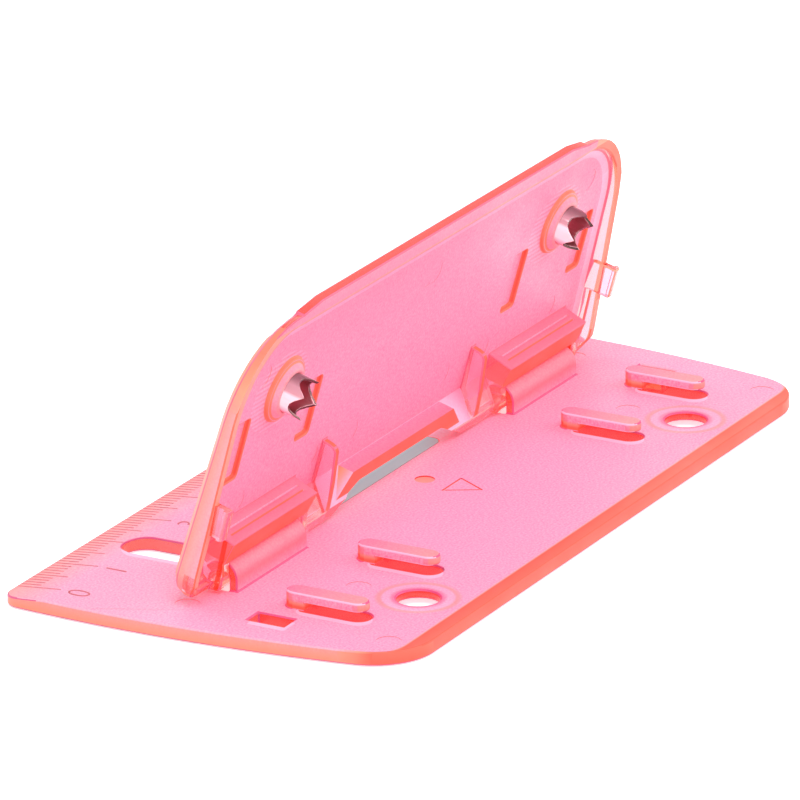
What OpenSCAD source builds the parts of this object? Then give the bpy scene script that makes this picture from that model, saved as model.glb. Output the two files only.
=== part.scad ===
// Flat ring-binder two-hole punch: a base plate with a ruler edge and a hinged lid with two tube cutters.
// The origin is at the middle of the base plate's underside. +X runs along the hinge, +Y to the ruler edge.

/* [Base plate] */
// Greatest width of the plate along the hinge
plate_w = 130; // [124:1:150]
// Depth of the plate from the front edge to the ruler edge
plate_d = 61; // [58:1:70]
// Thickness of the plate
plate_t = 2; // [1.8:0.1:3]
// Radius of the bowed short edges
side_bow_r = 200; // [150:10:400]
// Where the bowed short edges are widest, measured from the middle
side_bow_y = 14; // [6:1:20]
// Radius of the two front corners
front_corner_r = 9; // [4:0.5:12]
// Radius of the two corners at the ruler edge
rear_corner_r = 3; // [1:0.5:5]
// Depth of the ruler bevel
bevel_d = 7; // [4:0.5:8]
// Thickness left at the ruler edge
bevel_edge_t = 1.3; // [0.8:0.1:1.6]

/* [Die holes] */
// Distance between the two punched holes
hole_pitch = 80; // [76:1:84]
// Distance of the hole row from the front edge of the plate
hole_margin = 9.25; // [8:0.25:11]
// Radius of a die bore
die_r = 3.05; // [2.9:0.05:3.3]
// Radius of the relief under a die bore
die_relief_r = 5.2; // [4.5:0.1:6]
// Depth of the relief under a die bore
die_relief_h = 0.7; // [0.3:0.1:1]

/* [Paper hooks] */
// Distance of a hook's middle from the middle of its hole
hook_offset = 10; // [8.5:0.5:12]
// Width of a hook
hook_w = 3.2; // [2.6:0.1:4]
// Distance of the paper's edge, at the posts, from the hole row
paper_stop = 11.2; // [11:0.1:13]
// Length of a hook's post
post_l = 3.5; // [2.5:0.1:5]
// Length of a hook's tongue in front of its post
tongue_l = 9; // [6:0.5:10]
// Gap for the paper under a tongue
paper_gap = 1.1; // [0.8:0.1:1.4]
// Thickness of a tongue
tongue_t = 1.3; // [1:0.1:1.6]
// Room between a tongue and the edges of the slot under it
tongue_slot_gap = 0.35; // [0.2:0.05:0.6]

/* [Ring slots] */
// Width of a ring-binder slot
ring_slot_w = 6.5; // [5.5:0.5:8]
// Plate left between a hinge clip and its ring-binder slot
ring_slot_web = 4.3; // [2:0.1:6]
// Distance of a ring-binder slot from the ruler edge
ring_slot_margin = 5.5; // [5:0.5:7]

/* [Hinge] */
// Distance of the hinge axis behind the hole row
hinge_reach = 25.35; // [24:0.05:27]
// Height of the hinge axis above the plate
hinge_rise = 1.7; // [1.65:0.05:2.2]
// Radius of a pivot bar
bar_r = 1.25; // [1:0.05:1.4]
// Radial clearance of a pivot bar in its clip
bar_gap = 0.06; // [0.03:0.01:0.1]
// Wall of a hinge clip
clip_t = 1.25; // [1:0.05:1.4]
// Length of a hinge clip
clip_l = 19.5; // [14:0.5:22]
// How far a clip wraps over the bar, past the top, in degrees
clip_wrap = 50; // [30:5:60]
// Clearance at each end of a clip, and around it
clip_room = 0.4; // [0.3:0.05:0.8]
// Thickness of the cheeks that hold a pivot bar
cheek_t = 1.5; // [1.2:0.1:2]
// Angle of the opened lid from its closed place
open_angle = 74; // [60:1:82]

/* [Lid] */
// Width of the lid at its front corners
lid_front_w = 113; // [110:1:126]
// Width of the lid at the hinge
lid_rear_w = 117; // [114:1:128]
// Reach of the lid from the hinge axis to its front edge
lid_reach = 38.6; // [38:0.1:44]
// Reach of the lid behind the hinge axis
lid_tail = 1.5; // [1:0.1:1.6]
// Radius of the lid's front corners
lid_front_r = 14; // [6:0.5:16]
// Radius of the lid's rear corners
lid_rear_r = 4; // [3.8:0.1:5]
// How far the finger ledge stands out at the front edge
ledge = 0.8; // [0.4:0.1:1.2]
// Half the width of the finger ledge
ledge_half_w = 41.5; // [36:0.5:42]
// Thickness of the finger ledge
ledge_t = 1.5; // [1.2:0.1:1.8]
// Length over which the ends of the finger ledge run out
ledge_taper = 5; // [2:0.5:8]
// Thickness of the lid's floor
floor_t = 1.5; // [1.2:0.1:2]
// Height of the floor's inner face above the hinge axis when closed
floor_rise = 2.4; // [2.3:0.1:3.5]
// Wall of the rim round the lid
rim_t = 1.3; // [1:0.1:1.4]
// Depth of the rim below the floor at the hinge
rim_depth = 2.8; // [2:0.1:3]
// How far the lid's outer edge is rounded in
edge_round = 3.2; // [1:0.1:3.4]
// Height of that rounding
edge_h = 2.4; // [1:0.1:2.5]
// Width of the hollow corner between the rim and the floor
rim_fillet = 2; // [0.6:0.1:2.2]
// Height of that hollow corner
rim_fillet_h = 1.2; // [0.6:0.1:1.4]
// Depth of the pockets over the hooks' tongues
pocket_d = 0.7; // [0.4:0.1:0.8]
// Half the width of the notch over the strip, at its top
notch_half_w = 12; // [9:0.5:13]
// Reach of the notch past the hinge axis, along the lid
notch_rise = 2; // [1:0.1:3]
// Slant of the notch's sides, sideways for each millimetre of reach
notch_slant = 2.2; // [1:0.1:2.3]
// Radius of the notch's corners
notch_r = 3; // [1:0.5:4]
// Half the width of the frame round the notch, at its top
frame_half_w = 14.7; // [13:0.1:16]
// Slant of the frame's sides, sideways for each millimetre of reach
frame_slant = 1; // [0.5:0.1:1.2]
// Depth of the frame in front of the notch
frame_t = 2.2; // [1.5:0.1:3]
// Reach of the sloped rear wall past the hinge axis
ramp_reach = 4.3; // [3:0.1:5]
// Distance of a fin from the middle
fin_x = 21.7; // [21:0.1:24]
// Thickness of a fin
fin_t = 1.2; // [0.8:0.1:1.6]
// Clearance under the hinge blocks when the lid is closed
block_gap = 0.2; // [0.1:0.05:0.5]

/* [Latches] */
// Distance of a latch window's middle from the middle of the plate
latch_x = 56.4; // [56:0.1:57]
// Distance of a latch's middle behind the hole row
latch_y = 13.7; // [13:0.1:18]
// Length of a latch tab
latch_l = 4.6; // [3.5:0.1:6]
// Thickness of a latch tab
latch_t = 1.2; // [0.9:0.1:1.5]
// How far the barb stands out
barb = 0.45; // [0.2:0.05:0.6]
// Depth of a closed tab below the plate's top
latch_depth = 0.4; // [0.3:0.1:1.3]
// Room round a latch tab in its window
latch_room = 0.6; // [0.5:0.1:1]

/* [Cutters] */
// Outer radius of a tube cutter
cutter_r = 2.9; // [2.5:0.05:2.9]
// Wall of a tube cutter
cutter_wall = 0.4; // [0.3:0.05:0.7]
// Height of the cutters' points above the table when the lid lies level
cutter_tip_z = 1.7; // [1.3:0.1:1.8]
// Depth of the scallops between a cutter's points
tooth_h = 1.9; // [1:0.1:2.2]
// How many points a cutter has
teeth = 4; // [2:1:5]
// Turn of the left cutter's points, in degrees
left_turn = 60; // [0:5:90]
// Turn of the right cutter's points, in degrees
right_turn = 5; // [0:5:90]
// Radius of the boss round a cutter, at the floor
boss_r = 4.8; // [4:0.1:5.5]
// Height of the boss on the floor
boss_h = 1.3; // [0.8:0.1:1.6]
// Wall of the boss round the cutter at its top
boss_wall = 0.5; // [0.4:0.05:0.8]
// Height of the upright foot of the boss
boss_foot = 0.5; // [0.3:0.1:0.7]
// Floor left behind a cutter's socket
socket_floor = 0.7; // [0.4:0.1:0.9]

/* [Strip] */
// Length of the metal strip
strip_l = 33; // [20:0.5:40]
// Width of the metal strip
strip_w = 8; // [5:0.5:9]
// Thickness of the metal strip
strip_t = 0.3; // [0.2:0.05:0.5]
// Distance of the strip's front edge behind the hinge axis
strip_back = 1.6; // [1:0.1:4]
// Radius of the strip's corners
strip_corner_r = 1.5; // [0.5:0.1:2]
// Gap between the strip and the edge of its recess
strip_gap = 0.15; // [0.1:0.05:0.3]

/* [Marks] */
// Radius of the dimple in front of the strip
dimple_r = 1.45; // [1:0.05:2]
// Side of the engraved triangle
mark_side = 6; // [4:0.5:8]
// Width of the engraved line
mark_line = 0.3; // [0.2:0.05:0.5]
// Depth of the dimple and of the engraved line
mark_depth = 0.2; // [0.1:0.05:0.4]
// Radius of the round marks that the ejector pins leave
pin_r = 1.75; // [1:0.05:2.5]
// Depth of those marks
pin_depth = 0.06; // [0.04:0.01:0.1]

/* [Hidden] */
$fn = 64;
over = 1;
sliver = 0.02;
pink = [0.99, 0.55, 0.72, 0.85];
steel = [0.80, 0.78, 0.78];
silver = [0.72, 0.74, 0.76];

front_y = -plate_d / 2;
rear_y = plate_d / 2;
hole_x = hole_pitch / 2;
hole_y = front_y + hole_margin;
hinge_y = hole_y + hinge_reach;
hinge_z = plate_t + hinge_rise;

hook_xs = [for (s = [-1, 1], o = [-1, 1]) s * hole_x + o * hook_offset];
stop_y = hole_y + paper_stop;
tip_y = stop_y - tongue_l;
slot_w = hook_w + 2 * tongue_slot_gap;
slot_end_y = tip_y - tongue_slot_gap;
hook_h = paper_gap + tongue_t;

ring_rear_y = rear_y - ring_slot_margin;

clip_ri = bar_r + bar_gap;
clip_ro = clip_ri + clip_t;
clip_front_y = hinge_y - clip_ro;
clip_hole_y = hinge_y - clip_ri;
clip_hole_l = clip_ri + clip_ro;
clip_span = clip_l + 2 * clip_room;
ring_front_y = min(hinge_y + clip_ro + ring_slot_web, ring_rear_y - ring_slot_w - over);

back_z = floor_rise + floor_t;
rim_low_z = floor_rise - rim_depth;
block_low_z = plate_t + block_gap - hinge_z;
block_front = 7.3;
block_mid = 6.6;
block_rear = clip_ro + clip_room;
block_span = clip_span + 2 * cheek_t;
block_rear_z = -0.6 * bar_r;
groove_at = [0.35, 0.62];
groove_half = 0.07;
groove_d = 0.35;
groove_end = 1.6;
cheek_share = 0.8;
tail_inset = 0.2;
frame_low_z = -0.1;
ramp_end = 0.4;
// Fin outline from its top to its tip, as reach from the hinge axis and height above it
fin_edge = [[10.9, floor_rise + sliver], [10.75, 1.2], [10.5, 0.4], [9.9, 0], [5.6, -0.55], [0.9, -0.8], [0.4, -0.4]];
dish_reach = lid_reach - ledge;
edge_turns = [0, 30, 60, 90];
fillet_turns = [0, 45, 90];
rim_run_out = 0.9;
ledge_low_z = floor_rise - rim_run_out;
ledge_d = 2.4;
pocket_r = 0.6;

latch_yc = hole_y + latch_y;
latch_v = hinge_y - latch_yc;
latch_low_z = plate_t - latch_depth - hinge_z;
window_w = latch_t + 2 * (barb + latch_room);
window_l = latch_l + 2 * latch_room;
barb_h = 0.9;

cutter_tip = cutter_tip_z - hinge_z;
cutter_top = back_z - socket_floor;
cutter_len = cutter_top - cutter_tip;

// Side line of a scallop, as shares of its half width and of its depth
scallop_side = [[1, 0], [0.62, 0.62], [0.3, 0.94]];

strip_y = hinge_y + strip_back;
strip_z = plate_t - strip_t;

mark_x = 1;
dimple_y = hinge_y - 4;
mark_y = dimple_y - 9.4;
// Places of the ejector-pin marks on one side, measured from the middle and from the hole row
pin_marks = [[40, 9.3], [56.5, 26.7], [56, -4.2]];
// The same on the lid's inner face, measured from the middle and from the hinge axis
lid_pin_marks = [[1, 30], [47.3, 29.8], [45.4, 9.4], [25, 9.5], [13.4, 9.2]];

// Box given by its corner and its size
module block(x, y, z, w, d, h) {
    translate([x, y, z]) cube([w, d, h]);
}

// Upright slot with round ends along Y, from y0 to y1
module slot_y(x, y0, y1, w, z, h) {
    for (y = [y0 + w / 2, y1 - w / 2]) translate([x, y, z]) cylinder(r = w / 2, h = h);
    block(x - w / 2, y0 + w / 2, z, w, y1 - y0 - w, h);
}

// Rectangle with round corners, its front edge at y = 0
module round_rect(w, d, r) {
    offset(r = r) translate([r - w / 2, r]) square([w - 2 * r, d - 2 * r]);
}

// Profile in the Y-Z plane drawn out along X, centred on x
module along_x(x, w) {
    translate([x - w / 2, 0, 0]) rotate([90, 0, 90]) linear_extrude(height = w) children();
}

// Outline of the base plate with bowed short edges and round corners
module plate_outline() {
    offset(r = rear_corner_r) offset(delta = -rear_corner_r) intersection() {
        square([plate_w, plate_d], center = true);
        bowed_sides();
        front_rounding();
    }
}

// What the two large circles of the bowed short edges have in common
module bowed_sides() {
    intersection() {
        translate([side_bow_r - plate_w / 2, side_bow_y]) circle(r = side_bow_r, $fn = 360);
        translate([plate_w / 2 - side_bow_r, side_bow_y]) circle(r = side_bow_r, $fn = 360);
    }
}

// Wide shape that rounds only the front corners
module front_rounding() {
    offset(r = front_corner_r) offset(delta = -front_corner_r) intersection() {
        translate([-plate_w / 2, front_y]) square([plate_w, plate_d + 2 * front_corner_r]);
        bowed_sides();
    }
}

// Ruler bevel cut away from the top of the rear edge
module bevel_cut() {
    along_x(0, plate_w + 2 * over) polygon([
        [rear_y - bevel_d, plate_t],
        [rear_y + over, bevel_edge_t - over * (plate_t - bevel_edge_t) / bevel_d],
        [rear_y + over, plate_t + over],
        [rear_y - bevel_d, plate_t + over]
    ]);
}

// Paper hook: a post at the paper's edge and a tongue over the slot
module hook(x) {
    block(x - hook_w / 2, stop_y, plate_t - sliver, hook_w, post_l - hook_w / 2, hook_h + sliver);
    translate([x, stop_y + post_l - hook_w / 2, plate_t - sliver]) cylinder(r = hook_w / 2, h = hook_h + sliver);
    block(x - hook_w / 2, tip_y + hook_w / 2, plate_t + paper_gap, hook_w, tongue_l - hook_w / 2 + sliver, tongue_t);
    translate([x, tip_y + hook_w / 2, plate_t + paper_gap]) cylinder(r = hook_w / 2, h = tongue_t);
}

// Hinge clip: a foot in front of the bar and a curved wall over it
module clip(x) {
    block(x - clip_l / 2, clip_front_y, plate_t - sliver, clip_l, clip_t, hinge_rise + sliver);
    translate([x, hinge_y, hinge_z]) rotate([0, 90, 0]) difference() {
        cylinder(r = clip_ro, h = clip_l, center = true);
        cylinder(r = clip_ri, h = clip_l + over, center = true);
        // everything below the axis, which the foot takes over
        translate([0, -2 * clip_ro, -clip_l]) cube([2 * clip_ro, 4 * clip_ro, 2 * clip_l]);
        // the open quarter at the back, where the bar snaps in
        rotate([0, 0, -clip_wrap]) translate([-2 * clip_ro, 0, -clip_l])
            cube([2 * clip_ro + over, 2 * clip_ro, 2 * clip_l]);
    }
}

// Dimple, engraved triangle and ejector-pin marks in the top of the plate
module plate_marks() {
    translate([mark_x, dimple_y, plate_t - mark_depth]) cylinder(r = dimple_r, h = mark_depth + over);
    translate([mark_x, mark_y, plate_t - mark_depth]) linear_extrude(height = mark_depth + over) difference() {
        triangle(mark_side);
        offset(delta = -mark_line) triangle(mark_side);
    }
    for (s = [-1, 1], p = pin_marks) translate([s * p[0], hole_y + p[1], plate_t - pin_depth])
        cylinder(r = pin_r, h = pin_depth + over);
}

// Equal-sided triangle that points to the front edge, its base along the hinge
module triangle(side) {
    tip = side * sqrt(3) / 2;
    polygon([[-side / 2, tip], [side / 2, tip], [0, 0]]);
}

module base_plate() color(pink) {
    difference() {
        linear_extrude(height = plate_t) plate_outline();
        bevel_cut();
        for (s = [-1, 1]) {
            translate([s * hole_x, hole_y, -over]) cylinder(r = die_r, h = plate_t + 2 * over);
            translate([s * hole_x, hole_y, -over]) cylinder(r = die_relief_r, h = die_relief_h + over);
            slot_y(s * hole_x, ring_front_y, ring_rear_y, ring_slot_w, -over, plate_t + 2 * over);
            block(s * hole_x - clip_l / 2, clip_hole_y, -over, clip_l, clip_hole_l, plate_t + 2 * over);
            block(s * latch_x - window_w / 2, latch_yc - window_l / 2, -over,
                window_w, window_l, plate_t + 2 * over);
        }
        for (x = hook_xs) {
            slot_y(x, slot_end_y, stop_y + slot_w / 2, slot_w, -over, plate_t + 2 * over);
        }
        translate([0, strip_y - strip_gap, strip_z])
            linear_extrude(height = strip_t + over)
                round_rect(strip_l + 2 * strip_gap, strip_w + 2 * strip_gap, strip_corner_r + strip_gap);
        plate_marks();
    }
    for (x = hook_xs) hook(x);
    for (s = [-1, 1]) clip(s * hole_x);
}

// Puts a copy of a corner shape at each of the lid's four corners, with the corner's radius in $corner_r
module lid_corners() {
    for (s = [-1, 1]) {
        let ($corner_r = lid_front_r)
            translate([s * (lid_front_w / 2 - lid_front_r), lid_front_r - dish_reach, 0]) children();
        let ($corner_r = lid_rear_r)
            translate([s * (lid_rear_w / 2 - lid_rear_r), lid_tail - lid_rear_r, 0]) children();
    }
}

// Stack of cones that follows a quarter ellipse, inwards by d and up to top_z by h
module round_off(r, d, h, top_z, turns) {
    for (i = [0 : len(turns) - 2]) {
        low = top_z - h * (1 - sin(turns[i]));
        high = top_z - h * (1 - sin(turns[i + 1]));
        translate([0, 0, low]) cylinder(r1 = r - d * (1 - cos(turns[i])), r2 = r - d * (1 - cos(turns[i + 1])),
            h = high - low, $fn = 48);
    }
}

// Round corner of the lid's outside, drawn in towards the back face
module outer_corner() {
    translate([0, 0, rim_low_z]) cylinder(r = $corner_r, h = back_z - edge_h - rim_low_z, $fn = 48);
    round_off($corner_r, edge_round, edge_h, back_z, edge_turns);
}

// Round corner of the lid's hollow, drawn in at the floor
module inner_corner() {
    r = $corner_r - rim_t;
    turn_z = floor_rise - rim_fillet_h;
    translate([0, 0, rim_low_z - over]) cylinder(r = r, h = turn_z - rim_low_z + over, $fn = 48);
    round_off(r, rim_fillet, rim_fillet_h, floor_rise, fillet_turns);
}

// Dish of the lid: rounded outside, hollow inside, with a rim that runs out towards the front edge
module lid_dish() {
    difference() {
        hull() lid_corners() outer_corner();
        hull() lid_corners() inner_corner();
        along_x(0, lid_rear_w + 2 * over) polygon([
            [lid_tail + over, rim_low_z - over],
            [lid_tail + over, rim_low_z + lid_tail],
            [-lid_tail, rim_low_z],
            [-dish_reach + rim_t, ledge_low_z],
            [-dish_reach - over, ledge_low_z],
            [-dish_reach - over, rim_low_z - over]
        ]);
    }
}

// Trapezium whose sides spread towards the rear edge
module spread(half_w, reach, slant, rear) {
    polygon([
        [-half_w, -reach],
        [half_w, -reach],
        [half_w + slant * (reach + rear), rear],
        [-half_w - slant * (reach + rear), rear]
    ]);
}

// Notch in the lid's rear edge, over the strip
module notch_cut() {
    translate([0, 0, rim_low_z - over]) linear_extrude(height = back_z - rim_low_z + 2 * over)
        offset(r = notch_r) offset(delta = -notch_r)
            spread(notch_half_w, notch_rise, notch_slant, lid_tail + 2 * notch_r);
}

// Raised frame that the notch is cut into
module notch_frame() {
    translate([0, 0, frame_low_z]) linear_extrude(height = floor_rise - frame_low_z + sliver)
        spread(frame_half_w, notch_rise + frame_t, frame_slant, lid_tail - tail_inset);
}

// Sloped rear wall between the two hinge blocks
module rear_ramp() {
    along_x(0, 2 * hole_x - block_span + 2 * sliver) polygon([
        [-ramp_reach, floor_rise + sliver],
        [-ramp_end, rim_low_z],
        [lid_tail - tail_inset, rim_low_z],
        [lid_tail - tail_inset, floor_rise + sliver]
    ]);
}

// Cheek at one end of a pivot bar
module cheek(x) {
    along_x(x, cheek_t) polygon([
        [-block_rear - sliver, floor_rise + sliver],
        [-block_rear - sliver, block_rear_z],
        [-bar_r, -bar_r],
        [bar_r * cheek_share, -bar_r * cheek_share],
        [lid_tail - tail_inset, 0],
        [lid_tail - tail_inset, floor_rise + sliver]
    ]);
}

// Point on the front face of a hinge block, a share of the way down and some way into it
function block_face(share, depth) = [
    depth - block_front + share * (block_front - block_mid),
    floor_rise + share * (block_low_z - floor_rise)
];

// Block in front of a clip, which comes down close to the plate when the lid is shut
module hinge_block(x) {
    difference() {
        along_x(x, block_span) polygon([
            [-block_front, floor_rise + sliver],
            [-block_mid, block_low_z],
            [-block_rear, block_rear_z],
            [-block_rear, floor_rise + sliver]
        ]);
        for (at = groove_at) along_x(x, block_span - 2 * groove_end) polygon([
            block_face(at - groove_half, -groove_d),
            block_face(at, groove_d),
            block_face(at + groove_half, -groove_d)
        ]);
    }
}

// Stiffening fin beside the notch
module fin(x) {
    along_x(x, fin_t) polygon(concat(
        [for (p = fin_edge) [-p[0], p[1]]],
        [[-ramp_reach + over, floor_rise + sliver]]
    ));
}

// Latch tab with its barb, at the side s of the lid
module latch_tab(s) {
    block(s * latch_x - latch_t / 2, -latch_v - latch_l / 2, latch_low_z, latch_t, latch_l,
        floor_rise - latch_low_z + sliver);
    translate([0, -latch_v - latch_l / 2, 0]) mirror([s < 0 ? 1 : 0, 0, 0]) rotate([-90, 0, 0])
        linear_extrude(height = latch_l) polygon([
            [latch_x + latch_t / 2 - sliver, -latch_low_z],
            [latch_x + latch_t / 2, -latch_low_z],
            [latch_x + latch_t / 2 + barb, -latch_low_z - barb_h / 2],
            [latch_x + latch_t / 2 + barb, -latch_low_z - barb_h],
            [latch_x + latch_t / 2 - sliver, -latch_low_z - barb_h]
        ]);
}

// Boss that holds a cutter: an upright foot on the floor and a cone up to the cutter
module boss(x) {
    translate([x, -hinge_reach, floor_rise - boss_foot]) cylinder(r = boss_r, h = boss_foot + sliver);
    translate([x, -hinge_reach, floor_rise - boss_h])
        cylinder(r1 = cutter_r + boss_wall, r2 = boss_r - boss_wall, h = boss_h - boss_foot + sliver);
}

// Ledge along the front edge, for the finger that opens the lid
module finger_ledge() {
    tip = ledge_half_w - ledge_taper;
    translate([0, 0, ledge_low_z]) linear_extrude(height = ledge_t) polygon([
        [-tip, -lid_reach],
        [tip, -lid_reach],
        [ledge_half_w, -dish_reach],
        [ledge_half_w, ledge_d - lid_reach],
        [-ledge_half_w, ledge_d - lid_reach],
        [-ledge_half_w, -dish_reach]
    ]);
}

// Lid in its closed place, about the hinge axis
module closed_lid() {
    difference() {
        union() {
            finger_ledge();
            difference() {
                lid_dish();
                // openings for the clips, open at the rear edge
                for (s = [-1, 1]) block(s * hole_x - clip_span / 2, -block_rear, rim_low_z - over,
                    clip_span, block_rear + lid_tail + over, back_z - rim_low_z + 2 * over);
            }
            rear_ramp();
            notch_frame();
            for (s = [-1, 1]) {
                for (e = [-1, 1]) cheek(s * hole_x + e * (clip_span + cheek_t) / 2);
                translate([s * hole_x, 0, 0]) rotate([0, 90, 0])
                    cylinder(r = bar_r, h = block_span, center = true);
                hinge_block(s * hole_x);
                fin(s * fin_x);
                latch_tab(s);
                boss(s * hole_x);
            }
        }
        notch_cut();
        // sockets of the cutters, pockets over the hooks' tongues and ejector-pin marks
        for (s = [-1, 1]) translate([s * hole_x, -hinge_reach, rim_low_z - over])
            cylinder(r = cutter_r, h = cutter_top - rim_low_z + over);
        for (x = hook_xs) translate([x, slot_end_y - hinge_y, rim_low_z - over])
            linear_extrude(height = floor_rise + pocket_d - rim_low_z + over)
                round_rect(slot_w, stop_y - slot_end_y, pocket_r);
        for (s = [-1, 1], p = lid_pin_marks) translate([s * p[0], -p[1], floor_rise - sliver])
            cylinder(r = pin_r, h = pin_depth + sliver);
    }
}

// Tube cutter in its closed place, with a crown of points at its lower end
module closed_cutter(x, turn) {
    translate([x, -hinge_reach, cutter_tip]) difference() {
        cylinder(r = cutter_r, h = cutter_len);
        translate([0, 0, -over]) cylinder(r = cutter_r - cutter_wall, h = cutter_len + 2 * over);
        for (i = [0 : teeth - 1]) rotate([0, 0, (i + 0.5) * 360 / teeth - turn]) scallop();
    }
}

// Scallop that is cut out between two points of a cutter
module scallop() {
    half = cutter_r * sin(180 / teeth);
    rotate([90, 0, 90]) linear_extrude(height = cutter_r + over) polygon(concat(
        [[-half - over, -over]],
        [for (p = scallop_side) [-half * p[0], tooth_h * p[1]]],
        [[0, tooth_h]],
        [for (i = [len(scallop_side) - 1 : -1 : 0]) [half * scallop_side[i][0], tooth_h * scallop_side[i][1]]],
        [[half + over, -over]]
    ));
}

// Turns what is drawn about the hinge axis from the closed to the opened place
module opened() {
    translate([0, hinge_y, hinge_z]) rotate([-open_angle, 0, 0]) children();
}

module lid() color(pink) opened() closed_lid();

module left_cutter() color(steel) opened() closed_cutter(-hole_x, left_turn);

module right_cutter() color(steel) opened() closed_cutter(hole_x, right_turn);

module strip() color(silver) translate([0, strip_y, strip_z]) linear_extrude(height = strip_t)
    round_rect(strip_l, strip_w, strip_corner_r);

base_plate();
lid();
left_cutter();
right_cutter();
strip();
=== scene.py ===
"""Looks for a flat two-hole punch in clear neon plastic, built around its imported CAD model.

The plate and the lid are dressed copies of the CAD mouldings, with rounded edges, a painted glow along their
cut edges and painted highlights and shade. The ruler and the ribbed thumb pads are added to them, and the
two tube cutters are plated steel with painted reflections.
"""

import logging
import math
from dataclasses import dataclass, field
from enum import Enum
from typing import Any, Callable

import bmesh
import bpy
import numpy as np
from mathutils import Matrix, Vector

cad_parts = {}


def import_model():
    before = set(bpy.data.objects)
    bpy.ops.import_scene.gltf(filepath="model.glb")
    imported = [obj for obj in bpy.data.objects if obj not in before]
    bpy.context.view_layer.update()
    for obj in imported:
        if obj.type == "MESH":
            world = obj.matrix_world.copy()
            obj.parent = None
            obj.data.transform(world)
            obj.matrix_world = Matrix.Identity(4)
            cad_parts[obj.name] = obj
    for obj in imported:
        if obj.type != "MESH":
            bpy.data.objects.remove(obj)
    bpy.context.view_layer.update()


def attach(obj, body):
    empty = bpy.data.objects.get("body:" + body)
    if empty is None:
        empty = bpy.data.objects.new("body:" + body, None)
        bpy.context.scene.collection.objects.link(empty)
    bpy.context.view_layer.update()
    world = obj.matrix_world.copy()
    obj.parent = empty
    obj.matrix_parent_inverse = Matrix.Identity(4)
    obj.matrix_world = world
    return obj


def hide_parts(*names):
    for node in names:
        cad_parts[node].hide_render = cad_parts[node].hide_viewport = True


LOG = logging.getLogger("punch")
MM = 0.001
TINTS = "tints"
FAR = 1000.0

Triple = tuple[float, float, float]
Colour = Triple
Stops = tuple[tuple[float, Colour], ...]
Sockets = dict[Any, Any]
Socket = bpy.types.NodeSocket
Piece = bpy.types.Object
FaceRule = Callable[[np.ndarray, np.ndarray], np.ndarray]

# The ways that a face can look, with x counted outwards from the middle
OUTWARD: Triple = (1.0, 0.0, 0.0)
INWARD: Triple = (-1.0, 0.0, 0.0)
REAR: Triple = (0.0, 1.0, 0.0)
FRONT: Triple = (0.0, -1.0, 0.0)
UP: Triple = (0.0, 0.0, 1.0)
DOWN: Triple = (0.0, 0.0, -1.0)
FRONT_DOWN: Triple = (0.0, -0.7, -0.7)


class Body(Enum):
    """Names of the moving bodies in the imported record."""

    BASE = "base"
    LID = "lid"


class Slot(Enum):
    """Names of material slots for the added pieces, which no piece here uses."""

    PLASTIC = "pink_plastic"
    STEEL = "cutter_steel"


class Part(Enum):
    """Names of the CAD nodes."""

    PLATE = "base_plate"
    LID = "lid"
    LEFT_CUTTER = "left_cutter"
    RIGHT_CUTTER = "right_cutter"
    STRIP = "strip"


def between(values: np.ndarray, low: float, high: float) -> np.ndarray:
    """Returns a mask of the values between two limits."""
    return (values > low) & (values < high)


@dataclass(frozen=True)
class Hinge:
    """Where the lid turns, and how far it stands open in the photograph.

    Lengths are in millimetres in the frame of the CAD model, and the angle is in degrees.
    """

    y: float = 4.1
    z: float = 3.7
    angle: float = 74.0

    def opened(self) -> Matrix:
        """Returns the matrix from the closed lid's own frame, in metres, to its opened place."""
        place = Matrix.Translation(Vector((0.0, self.y * MM, self.z * MM)))
        return place @ Matrix.Rotation(math.radians(-self.angle), 4, "X")

    def closed(self) -> Matrix:
        """Returns the matrix from the opened lid to the closed lid's own frame."""
        return self.opened().inverted()


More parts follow.
